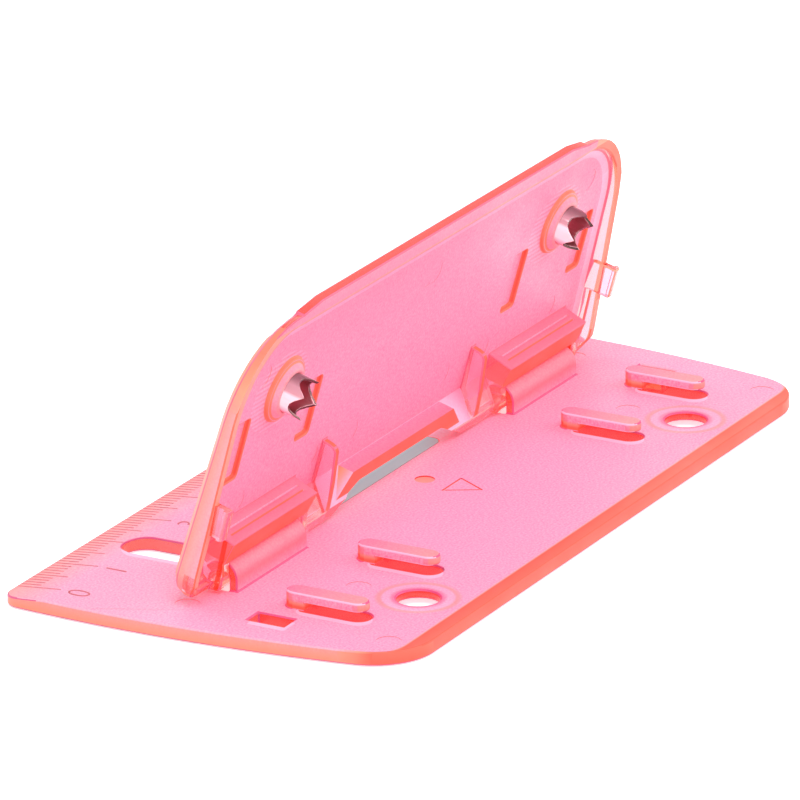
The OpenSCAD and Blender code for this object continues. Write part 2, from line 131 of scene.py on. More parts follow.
class NodeNet:
    """A node tree with short ways to add and join its nodes."""

    def __init__(self, tree: bpy.types.NodeTree) -> None:
        """Keeps the tree that is filled and clears it."""
        self.tree = tree
        tree.nodes.clear()

    def add(self, kind: str, inputs: Sockets | None = None, **settings: Any) -> bpy.types.Node:
        """Adds one node.

        Args:
            kind: Blender's name for the type of node.
            inputs: Values or output sockets for the node's inputs, by name or by number.
            **settings: Properties of the node, such as its operation.

        Returns:
            The new node.
        """
        node = self.tree.nodes.new(kind)
        for key, value in settings.items():
            setattr(node, key, value)
        for key, value in (inputs or {}).items():
            self.feed(node.inputs[key], value)
        return node

    def feed(self, socket: Socket, value: Any) -> None:
        """Links an output to a socket, or sets the socket's own value.

        Args:
            socket: The input socket.
            value: An output socket or a plain value.
        """
        if isinstance(value, Socket):
            self.tree.links.new(value, socket)
        elif isinstance(value, tuple) and len(value) == 3 and socket.type == "RGBA":
            socket.default_value = (*value, 1.0)
        else:
            socket.default_value = value

    def maths(self, operation: str, *values: Any, clamp: bool = False) -> Socket:
        """Adds a Math node and returns its result."""
        node = self.add("ShaderNodeMath", dict(enumerate(values)), operation=operation, use_clamp=clamp)
        return node.outputs[0]

    def product(self, first: Any, *others: Any) -> Socket:
        """Multiplies some values.

        Args:
            first: The first factor.
            *others: The other factors.

        Returns:
            The product.
        """
        total = first
        for value in others:
            total = self.maths("MULTIPLY", total, value)
        return total

    def square_sum(self, first: Socket, second: Socket) -> Socket:
        """Returns the sum of two squares."""
        return self.maths("ADD", self.product(first, first), self.product(second, second))

    def span(self, value: Socket, start: float, end: float, first: float = 0.0, last: float = 1.0) -> Socket:
        """Maps a value from start and end to first and last, and holds it there beyond them."""
        return self.add("ShaderNodeMapRange", {0: value, 1: start, 2: end, 3: first, 4: last}).outputs[0]

    def mix(self, share: Any, first: Any, second: Any, blend: str = "MIX") -> Socket:
        """Mixes two colours by the share of the second, with Blender's name for the way of mixing."""
        colours = {0: share, 6: first, 7: second}
        return self.add("ShaderNodeMix", colours, data_type="RGBA", blend_type=blend).outputs[2]

    def ramp(self, share: Socket, stops: Stops) -> Socket:
        """Adds a colour ramp.

        Args:
            share: Place on the ramp, from 0 to 1.
            stops: Place and colour of each stop.

        Returns:
            The colour.
        """
        node = self.add("ShaderNodeValToRGB", {0: share})
        elements = node.color_ramp.elements
        while len(elements) < len(stops):
            elements.new(1.0)
        for element, (position, colour) in zip(elements, stops):
            element.position = position
            element.color = (*colour, 1.0)
        return node.outputs["Color"]

    def shares(self, glow: Any, cool: Any = 0.0, deep: Any = 0.0) -> Socket:
        """Returns the shares of painted glow, painted highlight and painted shade as one colour."""
        return self.add("ShaderNodeCombineColor", {0: glow, 1: cool, 2: deep}).outputs[0]

    def spot(self, x: Any = 0.0, y: Any = 0.0, z: Any = 0.0) -> Socket:
        """Returns three lengths as one place."""
        return self.add("ShaderNodeCombineXYZ", {0: x, 1: y, 2: z}).outputs[0]

    def lengths(self, place: Socket, frame: Matrix) -> list[Socket]:
        """Splits a place on a piece into x, y and z.

        Args:
            place: The place, in metres.
            frame: Matrix into the frame that the result is given in.

        Returns:
            The three lengths, in millimetres.
        """
        turned = self.add(
            "ShaderNodeMapping",
            {
                "Vector": place,
                "Location": frame.translation / MM,
                "Rotation": frame.to_euler(),
                "Scale": (1.0 / MM, 1.0 / MM, 1.0 / MM),
            },
            vector_type="POINT",
        )
        return list(self.add("ShaderNodeSeparateXYZ", {0: turned.outputs[0]}).outputs)


class Group(Enum):
    """Shader effects that more than one finish uses."""

    GRAIN = "moulded_grain"
    EDGE = "edge_light"


class ShaderGroups:
    """Builds the shared shader node groups, each once.

    CLOUD is the scale of the clouds as a share of the grain's, and the flecks multiply the body's colour.
    """

    CLOUD = 0.05
    DARK_FLECK: Colour = (1.0, 0.5, 0.75)
    PALE_FLECK: Colour = (1.0, 1.5, 1.25)

    def __init__(self) -> None:
        """Builds both groups."""
        self.made = {Group.GRAIN: self.grain(), Group.EDGE: self.edge_light()}

    @staticmethod
    def start(group: Group, inputs: dict[str, str], outputs: dict[str, str]) -> tuple[NodeNet, Any, Any]:
        """Starts a group with its sockets.

        Args:
            group: Which group is built.
            inputs: Socket types by input name.
            outputs: Socket types by output name.

        Returns:
            The net, the sockets that come in and the sockets that go out.
        """
        tree = bpy.data.node_groups.new(group.value, "ShaderNodeTree")
        for way, sockets in (("INPUT", inputs), ("OUTPUT", outputs)):
            for name, kind in sockets.items():
                tree.interface.new_socket(name=name, in_out=way, socket_type=kind)
        net = NodeNet(tree)
        return net, net.add("NodeGroupInput").outputs, net.add("NodeGroupOutput").inputs

    def grain(self) -> bpy.types.NodeTree:
        """Builds the group for the fine grain of a moulded or rolled surface.

        Returns:
            The group's tree.
        """
        inputs = {"Vector": "NodeSocketVector", "Scale": "NodeSocketFloat", "Contrast": "NodeSocketFloat"}
        outputs = dict.fromkeys(("Grain", "Cloud"), "NodeSocketFloat")
        net, source, target = self.start(Group.GRAIN, inputs, outputs)
        place, scale = source["Vector"], source["Scale"]
        grain = {"Vector": place, "Scale": scale, "Detail": 2.0, "Roughness": 0.6}
        cloud = {"Vector": place, "Scale": net.product(scale, self.CLOUD), "Detail": 3.0}
        fine = net.add("ShaderNodeTexNoise", grain).outputs[0]
        centred = net.maths("SUBTRACT", fine, 0.5)
        net.feed(target["Grain"], net.maths("MULTIPLY_ADD", centred, source["Contrast"], 0.5))
        net.feed(target["Cloud"], net.add("ShaderNodeTexNoise", cloud).outputs[0])
        return net.tree

    def edge_light(self) -> bpy.types.NodeTree:
        """Builds the group that paints glow, highlight and shade into a clear body's colour and gives the
        painted glow off as light.

        Returns:
            The group's tree.
        """
        colours = ("Tints", "Body", "Warm", "Edge", "Light", "Cool", "Deep")
        inputs = dict.fromkeys(("Grain", "Speckle", "Rest"), "NodeSocketFloat")
        inputs.update(dict.fromkeys(colours, "NodeSocketColor"))
        outputs = dict.fromkeys(("Color", "Emission"), "NodeSocketColor")
        net, source, target = self.start(Group.EDGE, inputs, outputs)
        glow, cool, deep = net.add("ShaderNodeSeparateColor", {0: source["Tints"]}).outputs
        centred = net.maths("SUBTRACT", source["Grain"], 0.5)
        pale = net.maths("MULTIPLY_ADD", centred, source["Speckle"], 0.5, clamp=True)
        colour = net.mix(1.0, source["Body"], net.mix(pale, self.DARK_FLECK, self.PALE_FLECK), "MULTIPLY")
        # Painted shade, then painted highlight, then painted glow over the body's grained colour
        colour = net.mix(deep, colour, source["Deep"])
        colour = net.mix(cool, colour, source["Cool"])
        colour = net.mix(net.maths("MULTIPLY", glow, 2.0, clamp=True), colour, source["Warm"])
        second_half = net.maths("MULTIPLY_ADD", glow, 2.0, -1.0, clamp=True)
        net.feed(target["Color"], net.mix(second_half, colour, source["Edge"]))
        # Light given off by the painted glow, with a share of it everywhere
        lit = net.maths("MULTIPLY_ADD", glow, net.maths("SUBTRACT", 1.0, source["Rest"]), source["Rest"])
        net.feed(target["Emission"], net.mix(lit, (0.0, 0.0, 0.0), source["Light"]))
        return net.tree


@dataclass(frozen=True)
class Finish:
    """A material with a fine grain.

    Colours are linear. The grain's scale is per metre and its depth is in metres.
    """

    name: str
    colour: Colour
    grain_scale: float = 3000.0
    grain_stretch: Triple = (1.0, 1.0, 1.0)
    grain_contrast: float = 1.6
    grain_strength: float = 0.25
    grain_depth: float = 0.00002

    def sockets(self, net: NodeNet, place: Socket, grain: Any, groups: ShaderGroups) -> Sockets:
        """Returns what the shader's sockets take, by name."""
        raise NotImplementedError

    def make(self, groups: ShaderGroups) -> bpy.types.Material:
        """Builds the material.

        Args:
            groups: The shared node groups.

        Returns:
            The finished material.
        """
        material = bpy.data.materials.new(self.name)
        material.use_nodes = True
        net = NodeNet(material.node_tree)
        place = net.add("ShaderNodeTexCoord").outputs["Object"]
        stretched = net.add("ShaderNodeMapping", {"Vector": place, "Scale": self.grain_stretch})
        grain = net.add(
            "ShaderNodeGroup",
            {"Vector": stretched.outputs[0], "Scale": self.grain_scale, "Contrast": self.grain_contrast},
            node_tree=groups.made[Group.GRAIN],
        ).outputs
        bump = net.add(
            "ShaderNodeBump",
            {"Height": grain["Grain"], "Strength": self.grain_strength, "Distance": self.grain_depth},
        )
        sockets = self.sockets(net, place, grain, groups)
        shader = net.add("ShaderNodeBsdfPrincipled", {"Normal": bump.outputs["Normal"], **sockets})
        net.add("ShaderNodeOutputMaterial", {"Surface": shader.outputs[0]})
        return material


@dataclass(frozen=True)
class ClearPlastic(Finish):
    """Clear neon plastic with a painted glow along its edges, painted highlights and painted shade."""

    # Colours of the painted glow, warm and then at the edge, of the light that the glow gives off, and of the
    # painted highlight and the painted shade
    warm: Colour = (1.0, 0.42, 0.26)
    edge: Colour = (1.0, 0.115, 0.065)
    light: Colour = (0.3, 0.012, 0.004)
    cool: Colour = (0.94, 0.74, 1.0)
    deep: Colour = (0.74, 0.08, 0.27)
    # Share of the painted glow's light that is given off everywhere
    rest_light: float = 0.5
    clearness: float = 0.8
    refraction: float = 1.46
    roughness: float = 0.08
    speckle: float = 0.0

    def pattern(self, net: NodeNet, place: Socket) -> Socket | None:
        """Returns further painted glow, highlight and shade that the finish has by place, or nothing."""
        return None

    def sockets(self, net: NodeNet, place: Socket, grain: Any, groups: ShaderGroups) -> Sockets:
        """Works out the plastic's colour, light and roughness.

        Args:
            net: The material's net.
            place: The place on the piece.
            grain: The grain's outputs.
            groups: The shared node groups.

        Returns:
            Values for the shader's sockets, by name.
        """
        tints = net.add("ShaderNodeAttribute", attribute_name=TINTS).outputs["Color"]
        more = self.pattern(net, place)
        if more is not None:
            tints = net.mix(1.0, tints, more, "ADD")
        names = ("warm", "edge", "light", "cool", "deep")
        inputs = {name.capitalize(): getattr(self, name) for name in names}
        inputs.update({"Tints": tints, "Body": self.colour, "Grain": grain["Grain"]})
        inputs.update({"Speckle": self.speckle, "Rest": self.rest_light})
        light = net.add("ShaderNodeGroup", inputs, node_tree=groups.made[Group.EDGE]).outputs
        return {
            "Base Color": light["Color"],
            "Emission Color": light["Emission"],
            "Emission Strength": 1.0,
            "Roughness": net.maths("MULTIPLY_ADD", grain["Cloud"], self.roughness, 0.5 * self.roughness),
            "IOR": self.refraction,
            "Transmission Weight": self.clearness,
        }


@dataclass(frozen=True)
class PlateGrain(ClearPlastic):
    """The grained faces of the plate, with painted glow, highlight and shade where what lies under them
    shows. Lengths are in millimetres.
    """

    top: float = 2.0
    flatness: float = 0.05
    die: tuple[float, float] = (40.0, -21.25)
    ring_reach: float = 8.0
    # Radius and painted glow, highlight and shade of the rings, from the die hole outwards
    rings: Stops = (
        (3.1, (0.0, 0.0, 0.8)),
        (3.6, (0.0, 0.0, 0.5)),
        (4.1, (0.0, 0.25, 0.1)),
        (4.9, (0.0, 0.25, 0.05)),
        (5.3, (0.26, 0.0, 0.25)),
        (5.6, (0.22, 0.0, 0.12)),
        (6.1, (0.0, 0.0, 0.0)),
    )
    # Middle, half size and corner radius of the openings on one side
    openings: tuple[tuple[float, float, float, float, float], ...] = (
        (30.0, -13.75, 1.95, 5.65, 1.9),
        (50.0, -13.75, 1.95, 5.65, 1.9),
        (56.4, -7.55, 1.65, 2.9, 0.3),
        (40.0, 18.0, 3.25, 7.0, 3.2),
    )
    # How far the near walls of the openings, painted as a highlight, show through the plate's top
    lip: tuple[float, float] = (-1.3, -0.72)
    lip_tint: float = 0.85
    # Half size and corner radius of the plate, and the band of light along its front
    outline: Triple = (65.0, 30.5, 9.0)
    band: float = 2.1
    band_blur: float = 0.35
    band_fade: float = 0.9
    band_y: tuple[float, float] = (-26.2, -28.4)
    band_tint: float = 0.98
    # Heights between which the foot of a hook loses its glow, and where the hooks begin
    foot: tuple[float, float] = (2.45, 3.3)
    foot_tint: float = 0.9
    hook_y: float = -6.0
    hook_z: float = 2.1

    @staticmethod
    def round_box(net: NodeNet, x: Socket, y: Socket, size: Triple) -> Socket:
        """Measures the distance to a rectangle with round corners.

        Args:
            net: The material's net.
            x: Place across, from the rectangle's middle, not negative.
            y: Place along, in the same way.
            size: Half width, half length and corner radius.

        Returns:
            The distance, which is negative inside.
        """
        half_x, half_y, radius = size
        wide = net.maths("SUBTRACT", x, half_x - radius)
        high = net.maths("SUBTRACT", y, half_y - radius)
        square = net.square_sum(net.maths("MAXIMUM", wide, 0.0), net.maths("MAXIMUM", high, 0.0))
        within = net.maths("MINIMUM", net.maths("MAXIMUM", wide, high), 0.0)
        return net.maths("SUBTRACT", net.maths("ADD", net.maths("SQRT", square), within), radius)

    def pattern(self, net: NodeNet, place: Socket) -> Socket:
        """Paints shade, highlight and glow on the die rings, a highlight on the openings' lips and glow on
        the front band and the hooks' feet.

        Args:
            net: The material's net.
            place: The place on the piece.

        Returns:
            The painted glow, highlight and shade.
        """
        x, y, z = net.lengths(place, Matrix.Identity(4))
        across = net.maths("SUBTRACT", net.maths("ABSOLUTE", x), self.die[0])
        along = net.maths("SUBTRACT", y, self.die[1])
        share = net.maths("DIVIDE", net.maths("SQRT", net.square_sum(across, along)), self.ring_reach)
        rings = net.ramp(share, tuple((radius / self.ring_reach, tint) for radius, tint in self.rings))
        more = net.shares(self.front_band(net, x, y), net.product(self.lips(net, x, y), self.lip_tint))
        level = net.maths("COMPARE", z, self.top, self.flatness)
        flat = net.mix(level, (0.0, 0.0, 0.0), net.mix(1.0, rings, more, "ADD"))
        foot = net.span(z, *self.foot, self.foot_tint, 0.0)
        above = net.maths("GREATER_THAN", z, self.hook_z)
        before = net.maths("LESS_THAN", y, self.hook_y)
        return net.mix(1.0, flat, net.shares(net.product(foot, above, before)), "ADD")

    def lips(self, net: NodeNet, x: Socket, y: Socket) -> Any:
        """Finds where the near walls of the openings show through the plate's top, painted as a highlight.

        Args:
            net: The material's net.
            x: Place across the plate.
            y: Place along the plate.

        Returns:
            A mask of those places.
        """
        found: Any = 0.0
        shifted = net.maths("ABSOLUTE", net.maths("SUBTRACT", x, self.lip[0]))
        for middle_x, middle_y, *size in self.openings:
            wide = net.maths("ABSOLUTE", net.maths("SUBTRACT", shifted, middle_x))
            high = net.maths("ABSOLUTE", net.maths("SUBTRACT", y, middle_y + self.lip[1]))
            inside = net.maths("LESS_THAN", self.round_box(net, wide, high, size), 0.0)
            found = net.maths("MAXIMUM", found, inside)
        return found

    def front_band(self, net: NodeNet, x: Socket, y: Socket) -> Socket:
        """Draws the band of light along the plate's front edge.

        Args:
            net: The material's net.
            x: Place across the plate.
            y: Place along the plate.

        Returns:
            The band's glow.
        """
        inside = self.round_box(net, net.maths("ABSOLUTE", x), net.maths("ABSOLUTE", y), self.outline)
        near = net.span(inside, -self.band - self.band_blur, -self.band)
        fade = net.span(inside, -self.band, 0.0, 1.0, self.band_fade)
        return net.product(near, fade, net.span(y, *self.band_y), self.band_tint)


@dataclass(frozen=True)
class LidGrain(ClearPlastic):
    """The grained faces of the lid, on which the ribs of the thumb pads show through as painted highlight and
    shade.

    Lengths are in millimetres, in the closed lid's own frame.
    """

    hinge: Hinge = field(default_factory=Hinge)
    floor_z: float = 2.3
    # Place and half size of the oval round a cutter where the ribs are painted as highlight and shade
    pad_x: float = 40.0
    pad_y: float = -25.35
    pad_shift: float = -1.2
    half_width: float = 7.5
    half_height: float = 6.0
    rib_pitch: float = 0.75
    rib_tint: float = 0.3
    groove: float = 0.6
    # Where painted shade grows towards the lid's front, and more so on one side
    far_y: tuple[float, float] = (-22.0, -33.0)
    far_tint: float = 0.2
    far_x: tuple[float, float] = (30.0, 50.0)
    far_gain: float = 1.7
    # Where the rim's edge glows more than elsewhere
    rim_x: float = 44.5
    rim_y: float = -7.8
    rim_z: float = 1.6
    rim_tint: float = 0.45

    def pattern(self, net: NodeNet, place: Socket) -> Socket:
        """Paints highlight and shade on the ribs, shade towards the front and glow on the rim's edge.

        Args:
            net: The material's net.
            place: The place on the piece.

        Returns:
            The painted glow, highlight and shade.
        """
        x, y, z = net.lengths(place, self.hinge.closed())
        shifted = net.maths("ABSOLUTE", net.maths("SUBTRACT", x, self.pad_shift))
        along = net.maths("SUBTRACT", y, self.pad_y)
        wide = net.maths("DIVIDE", net.maths("SUBTRACT", shifted, self.pad_x), self.half_width)
        high = net.maths("DIVIDE", along, self.half_height)
        inside = net.maths("LESS_THAN", net.square_sum(wide, high), 1.0)
        shown = net.product(inside, net.maths("GREATER_THAN", z, self.floor_z), self.rib_tint)
        wave = net.maths("SINE", net.product(along, 2.0 * math.pi / self.rib_pitch))
        light = net.maths("MULTIPLY_ADD", wave, 0.5, 0.5)
        grooves = net.maths("MAXIMUM", net.product(shown, net.maths("SUBTRACT", self.groove, light)), 0.0)
        far = net.span(y, *self.far_y, 0.0, self.far_tint)
        deep = net.maths("MULTIPLY_ADD", far, net.span(x, *self.far_x, 1.0, self.far_gain), grooves)
        aside = net.maths("GREATER_THAN", x, self.rim_x)
        before = net.maths("LESS_THAN", y, self.rim_y)
        below = net.maths("LESS_THAN", z, self.rim_z)
        return net.shares(net.product(aside, before, below, self.rim_tint), net.product(shown, light), deep)


@dataclass(frozen=True)
class LidClear(ClearPlastic):
    """The clear walls of the lid, with a painted glow in the edge of the rim.

    Lengths are in millimetres, in the closed lid's own frame, where the rim's edge rises towards the front.
    """

    hinge: Hinge = field(default_factory=Hinge)
    side_x: float = 50.0
    wall_x: float = 57.9
    edge_y: float = -1.5
    edge_z: float = -0.4
    slope: float = 0.054
    band: float = 0.36
    band_tint: float = 0.85

    def pattern(self, net: NodeNet, place: Socket) -> Socket:
        """Paints the glow along the rim's edge.

        Args:
            net: The material's net.
            place: The place on the piece.

        Returns:
            The painted glow.
        """
        x, y, z = net.lengths(place, self.hinge.closed())
        level = net.maths("MULTIPLY_ADD", net.maths("SUBTRACT", y, self.edge_y), -self.slope, self.edge_z)
        low = net.maths("COMPARE", z, level, self.band)
        across = net.maths("ABSOLUTE", x)
        aside = net.maths("GREATER_THAN", across, self.side_x)
        inner = net.maths("LESS_THAN", net.maths("MULTIPLY_ADD", y, -self.slope, across), self.wall_x)
        return net.shares(net.product(low, aside, inner, self.band_tint))


@dataclass(frozen=True)
class TurnedSteel(Finish):
    """Bright plated metal with a fine grain along it."""

    roughness: float = 0.12
    metal: float = 1.0
    # Strength of a painted glint, with the metal's colour given off as light
    glint: float = 0.0
    grain_scale: float = 1800.0
    grain_stretch: Triple = (0.15, 1.0, 1.0)
    grain_contrast: float = 1.0
    grain_strength: float = 0.12
    grain_roughness: float = 0.12

    def colours(self, net: NodeNet, place: Socket) -> Any:
        """Returns the colour of the metal, which a kind of steel may change by place."""
        return self.colour

    def sockets(self, net: NodeNet, place: Socket, grain: Any, groups: ShaderGroups) -> Sockets:
        """Works out the metal's colour and roughness.

        Args:
            net: The material's net.
            place: The place on the piece.
            grain: The grain's outputs.
            groups: The shared node groups; not used.

        Returns:
            Values for the shader's sockets, by name.
        """
        colour = self.colours(net, place)
        least = self.roughness - 0.5 * self.grain_roughness
        return {
            "Base Color": colour,
            "Emission Color": colour,
            "Emission Strength": self.glint,
            "Metallic": self.metal,
            "Roughness": net.maths("MULTIPLY_ADD", grain["Grain"], self.grain_roughness, least),
        }


@dataclass(frozen=True)
class TubeChrome(TurnedSteel):
    """Chrome of a tube on the opened lid, with painted reflections of its surroundings as bands along it.

    Lengths are in millimetres, in the closed lid's own frame.
    """

    hinge: Hinge = field(default_factory=Hinge)
    axis_y: float = -25.35
    radius: float = 2.9
    # Place across the tube, from its far side to its near side, and colour of the painted reflection
    bands: Stops = (
        (0.0, (0.2, 0.09, 0.11)),
        (0.12, (0.5, 0.3, 0.34)),
        (0.27, (0.6, 0.38, 0.42)),
        (0.33, (1.0, 0.86, 0.9)),
        (0.66, (1.0, 0.95, 0.96)),
        (0.8, (0.95, 0.5, 0.58)),
        (0.93, (0.6, 0.1, 0.18)),
        (1.0, (0.16, 0.04, 0.06)),
    )

    def colours(self, net: NodeNet, place: Socket) -> Socket:
        """Draws the painted reflection bands across the tube.

        Args:
            net: The material's net.
            place: The place on the piece.

        Returns:
            The colour with its painted reflections.
        """
        _, y, _ = net.lengths(place, self.hinge.closed())
        across = net.maths("SUBTRACT", y, self.axis_y - self.radius)
        return net.ramp(net.maths("DIVIDE", across, 2.0 * self.radius), self.bands)


class Finishes:
    """Every material of the punch, made once."""

    def __init__(self, groups: ShaderGroups) -> None:
        """Makes the materials.

        Args:
            groups: The shared node groups.
        """
        clear = (1.0, 0.7, 0.82)
        self.plate = ClearPlastic("plate_clear", clear).make(groups)
        self.plate_grain = PlateGrain(
            "plate_grained", (1.0, 0.475, 0.7), clearness=0.35, roughness=0.42, speckle=1.1, rest_light=0.1
        ).make(groups)
        self.lid = LidClear("lid_clear", clear).make(groups)
        self.lid_grain = LidGrain(
            "lid_grained", (1.0, 0.41, 0.62), clearness=0.22, roughness=0.42, speckle=0.9, rest_light=0.2
        ).make(groups)
        self.lines = ClearPlastic(
            "engraved_lines", (0.68, 0.12, 0.17), clearness=0.2, roughness=0.3, rest_light=0.1
        ).make(groups)
        # Chrome with painted reflection bands and a painted glint
        self.steel = TubeChrome(
            "cutter_chrome", (0.95, 0.91, 0.91), roughness=0.16, metal=0.4, glint=0.3
        ).make(groups)
        # The bore is painted pink and darker as a reflection of the plastic and as shade, and the teeth dark
        # as painted shade
        self.bore = TurnedSteel("cutter_bore", (0.72, 0.36, 0.4), roughness=0.3).make(groups)
        self.teeth = TurnedSteel("cutter_teeth", (0.16, 0.08, 0.08), roughness=0.2).make(groups)
        self.strip = TurnedSteel(
            "strip_aluminium", (0.42, 0.56, 0.63), roughness=0.45, metal=0.15
        ).make(groups)


@dataclass(frozen=True)
class Tint:
    """How much painted glow, painted highlight and painted shade a clear surface shows, each from 0 to 1."""

    glow: float = 0.0
    cool: float = 0.0
    deep: float = 0.0

    def row(self) -> np.ndarray:
        """Returns the three shares as an array."""
        return np.array((self.glow, self.cool, self.deep), np.float32)


@dataclass(frozen=True)
class Zone:
    """A stretch of a moulding that has its own painted glow, highlight and shade.

    Lengths are in millimetres, and x is counted outwards from the middle. A face belongs to the zone when its
    centre lies in the box and its normal is close enough to the way that the zone faces. A zone is either for
    the thin faces along rounded edges or for the others.
    """

    low: Triple
    high: Triple
    facing: Triple
    start: Tint
    end: Tint | None = None
    axis: int = 2
    closeness: float = 0.7
    either_way: bool = False
    edges: bool = False

    def picks(self, centre: np.ndarray, normal: np.ndarray) -> np.ndarray:
        """Picks the faces that belong to the zone.

        Args:
            centre: Centres of the faces, in millimetres.
            normal: Normals of the faces.

        Returns:
            A mask of those faces.
        """
        inside = np.all((centre >= self.low) & (centre <= self.high), axis=1)
        towards = normal @ np.array(self.facing)
        if self.either_way:
            towards = np.abs(towards)
        return inside & (towards >= self.closeness)

    def tints(self, point: np.ndarray) -> np.ndarray:
        """Paints glow, highlight and shade on some corners, from start to end along the zone's axis.

        Args:
            point: Places of the corners, in millimetres.

        Returns:
            A row of shares for each corner.
        """
        first = self.start.row()
        last = (self.end or self.start).row()
        low, high = self.low[self.axis], self.high[self.axis]
        share = np.clip((point[:, self.axis] - low) / (high - low), 0.0, 1.0)
        return first + share[:, None] * (last - first)


class MeshKit:
    """Ways of making and finishing plain meshes, with angles in degrees.

    ROUNDED is the material index that marks the thin faces along rounded edges until a moulding is dressed.
    """

    ROUNDED = 1
    # Points closer than this, in metres, and faces within this angle become one
    MERGE = 0.000002
    FLAT = 0.6
    # How many times its width a rounding needs along the edges that leave it
    ROOM = 2.4
    # Least angles of an edge that is rounded, of one that leaves it and of one that is shaded sharp
    SHARP = 28.0
    BEND = 30.0
    CREASE = 34.0

    @staticmethod
    def link(name: str, data: bpy.types.ID) -> Piece:
        """Links a new object to the scene, at the origin.

        Args:
            name: Name of the object.
            data: Its mesh, text, camera or lamp.

        Returns:
            The object.
        """
        made = bpy.data.objects.new(name, data)
        bpy.context.scene.collection.objects.link(made)
        return made

    @staticmethod
    def settle(made: Piece) -> Piece:
        """Turns what an object's modifiers make into its plain mesh.

        Args:
            made: The object with its modifiers.

        Returns:
            The same object, without modifiers.
        """
        bpy.context.view_layer.update()
        graph = bpy.context.evaluated_depsgraph_get()
        shaped = made.evaluated_get(graph)
        mesh = bpy.data.meshes.new_from_object(shaped, preserve_all_data_layers=True, depsgraph=graph)
        old = made.data
        made.modifiers.clear()
        made.data = mesh
        mesh.name = made.name
        bpy.data.meshes.remove(old)
        return made

    @staticmethod
    def moulding(
        node: Part, name: str, round_by: float, shortest: float, sharp: Callable[[Vector], bool] | None = None
    ) -> Piece:
        """Copies a CAD node and rounds its longer edges.

        Args:
            node: The CAD node that is copied.
            name: Name of the new piece.
            round_by: Width of the rounding, in metres.
            shortest: Faces thinner than this stay sharp, in metres.
            sharp: Tells from the middle of an edge, in metres, whether it stays sharp.

        Returns:
            The new piece with a plain mesh.
        """
        mesh = bpy.data.objects[node.value].data.copy()
        mesh.name = name
        mesh.materials.clear()
        for _ in range(MeshKit.ROUNDED + 1):
            mesh.materials.append(None)
        work = bmesh.new()
        work.from_mesh(mesh)
        bmesh.ops.remove_doubles(work, verts=work.verts, dist=MeshKit.MERGE)
        flat = math.radians(MeshKit.FLAT)
        bmesh.ops.dissolve_limit(
            work, angle_limit=flat, verts=work.verts, edges=work.edges, delimit={"NORMAL"}
        )
        work.normal_update()
        weights = work.edges.layers.float.new("bevel_weight_edge")
        chosen = {edge for edge in work.edges if MeshKit.takes_rounding(edge, shortest)}
        for edge in chosen:
            middle = 0.5 * (edge.verts[0].co + edge.verts[1].co)
            if MeshKit.has_room(edge, MeshKit.ROOM * round_by) and not (sharp and sharp(middle)):
                edge[weights] = 1.0
        work.to_mesh(mesh)
        work.free()
        made = MeshKit.link(name, mesh)
        bevel = made.modifiers.new("round", "BEVEL")
        bevel.limit_method = "WEIGHT"
        bevel.width = round_by
        bevel.segments = 2
        bevel.use_clamp_overlap = False
        bevel.material = MeshKit.ROUNDED
        MeshKit.settle(made)
        MeshKit.smooth(made)
        return made

    @staticmethod
    def takes_rounding(edge: bmesh.types.BMEdge, shortest: float) -> bool:
        """Tells whether an edge is sharp and lies between two faces that are broad enough.

        Args:
            edge: The edge.
            shortest: Width that both faces must have, in metres.

        Returns:
            True for an edge that can be rounded.
        """
        if len(edge.link_faces) != 2 or edge.calc_face_angle(0.0) < math.radians(MeshKit.SHARP):
            return False
        return min(MeshKit.width_from(face, edge) for face in edge.link_faces) > shortest

    @staticmethod
    def has_room(edge: bmesh.types.BMEdge, room: float) -> bool:
        """Tells whether the edges that leave an edge at its ends are long enough for a rounding.

        Args:
            edge: The edge.
            room: Length that they must have, in metres.

        Returns:
            True when none of them is too short.
        """
        along = (edge.verts[1].co - edge.verts[0].co).normalized()
        for vert in edge.verts:
            for other in vert.link_edges:
                if other is edge or other.calc_length() > room:
                    continue
                leaving = (other.other_vert(vert).co - vert.co).normalized()
                if abs(leaving.dot(along)) < math.cos(math.radians(MeshKit.BEND)):
                    return False
        return True

    @staticmethod
    def width_from(face: bmesh.types.BMFace, edge: bmesh.types.BMEdge) -> float:
        """Measures how far a face reaches away from one of its edges.

        Args:
            face: The face.
            edge: The edge.

        Returns:
            The distance, in metres.
        """
        start = edge.verts[0].co
        along = (edge.verts[1].co - start).normalized()
        away = [(v.co - start) - along * (v.co - start).dot(along) for v in face.verts]
        return max(d.length for d in away)

    @staticmethod
    def smooth(made: Piece) -> None:
        """Shades an object smooth, apart from its sharp edges, with its broad faces kept flat.

        Args:
            made: The object.
        """
        made.data.shade_smooth()
        made.data.set_sharp_from_angle(angle=math.radians(MeshKit.CREASE))
        weigh = made.modifiers.new("weigh", "WEIGHTED_NORMAL")
        weigh.keep_sharp = True
        MeshKit.settle(made)

    @staticmethod
    def read(source: Any, name: str, width: int, kind: type) -> np.ndarray:
        """Reads a property of a mesh's faces, points or corners.

        Args:
            source: The faces, points or corners.
            name: Name of the property.
            width: How many numbers it has.
            kind: Type of the numbers.

        Returns:
            The numbers, in rows where there are several.
        """
        found = np.empty(len(source) * width, kind)
        source.foreach_get(name, found)
        return found.reshape(-1, width) if width > 1 else found

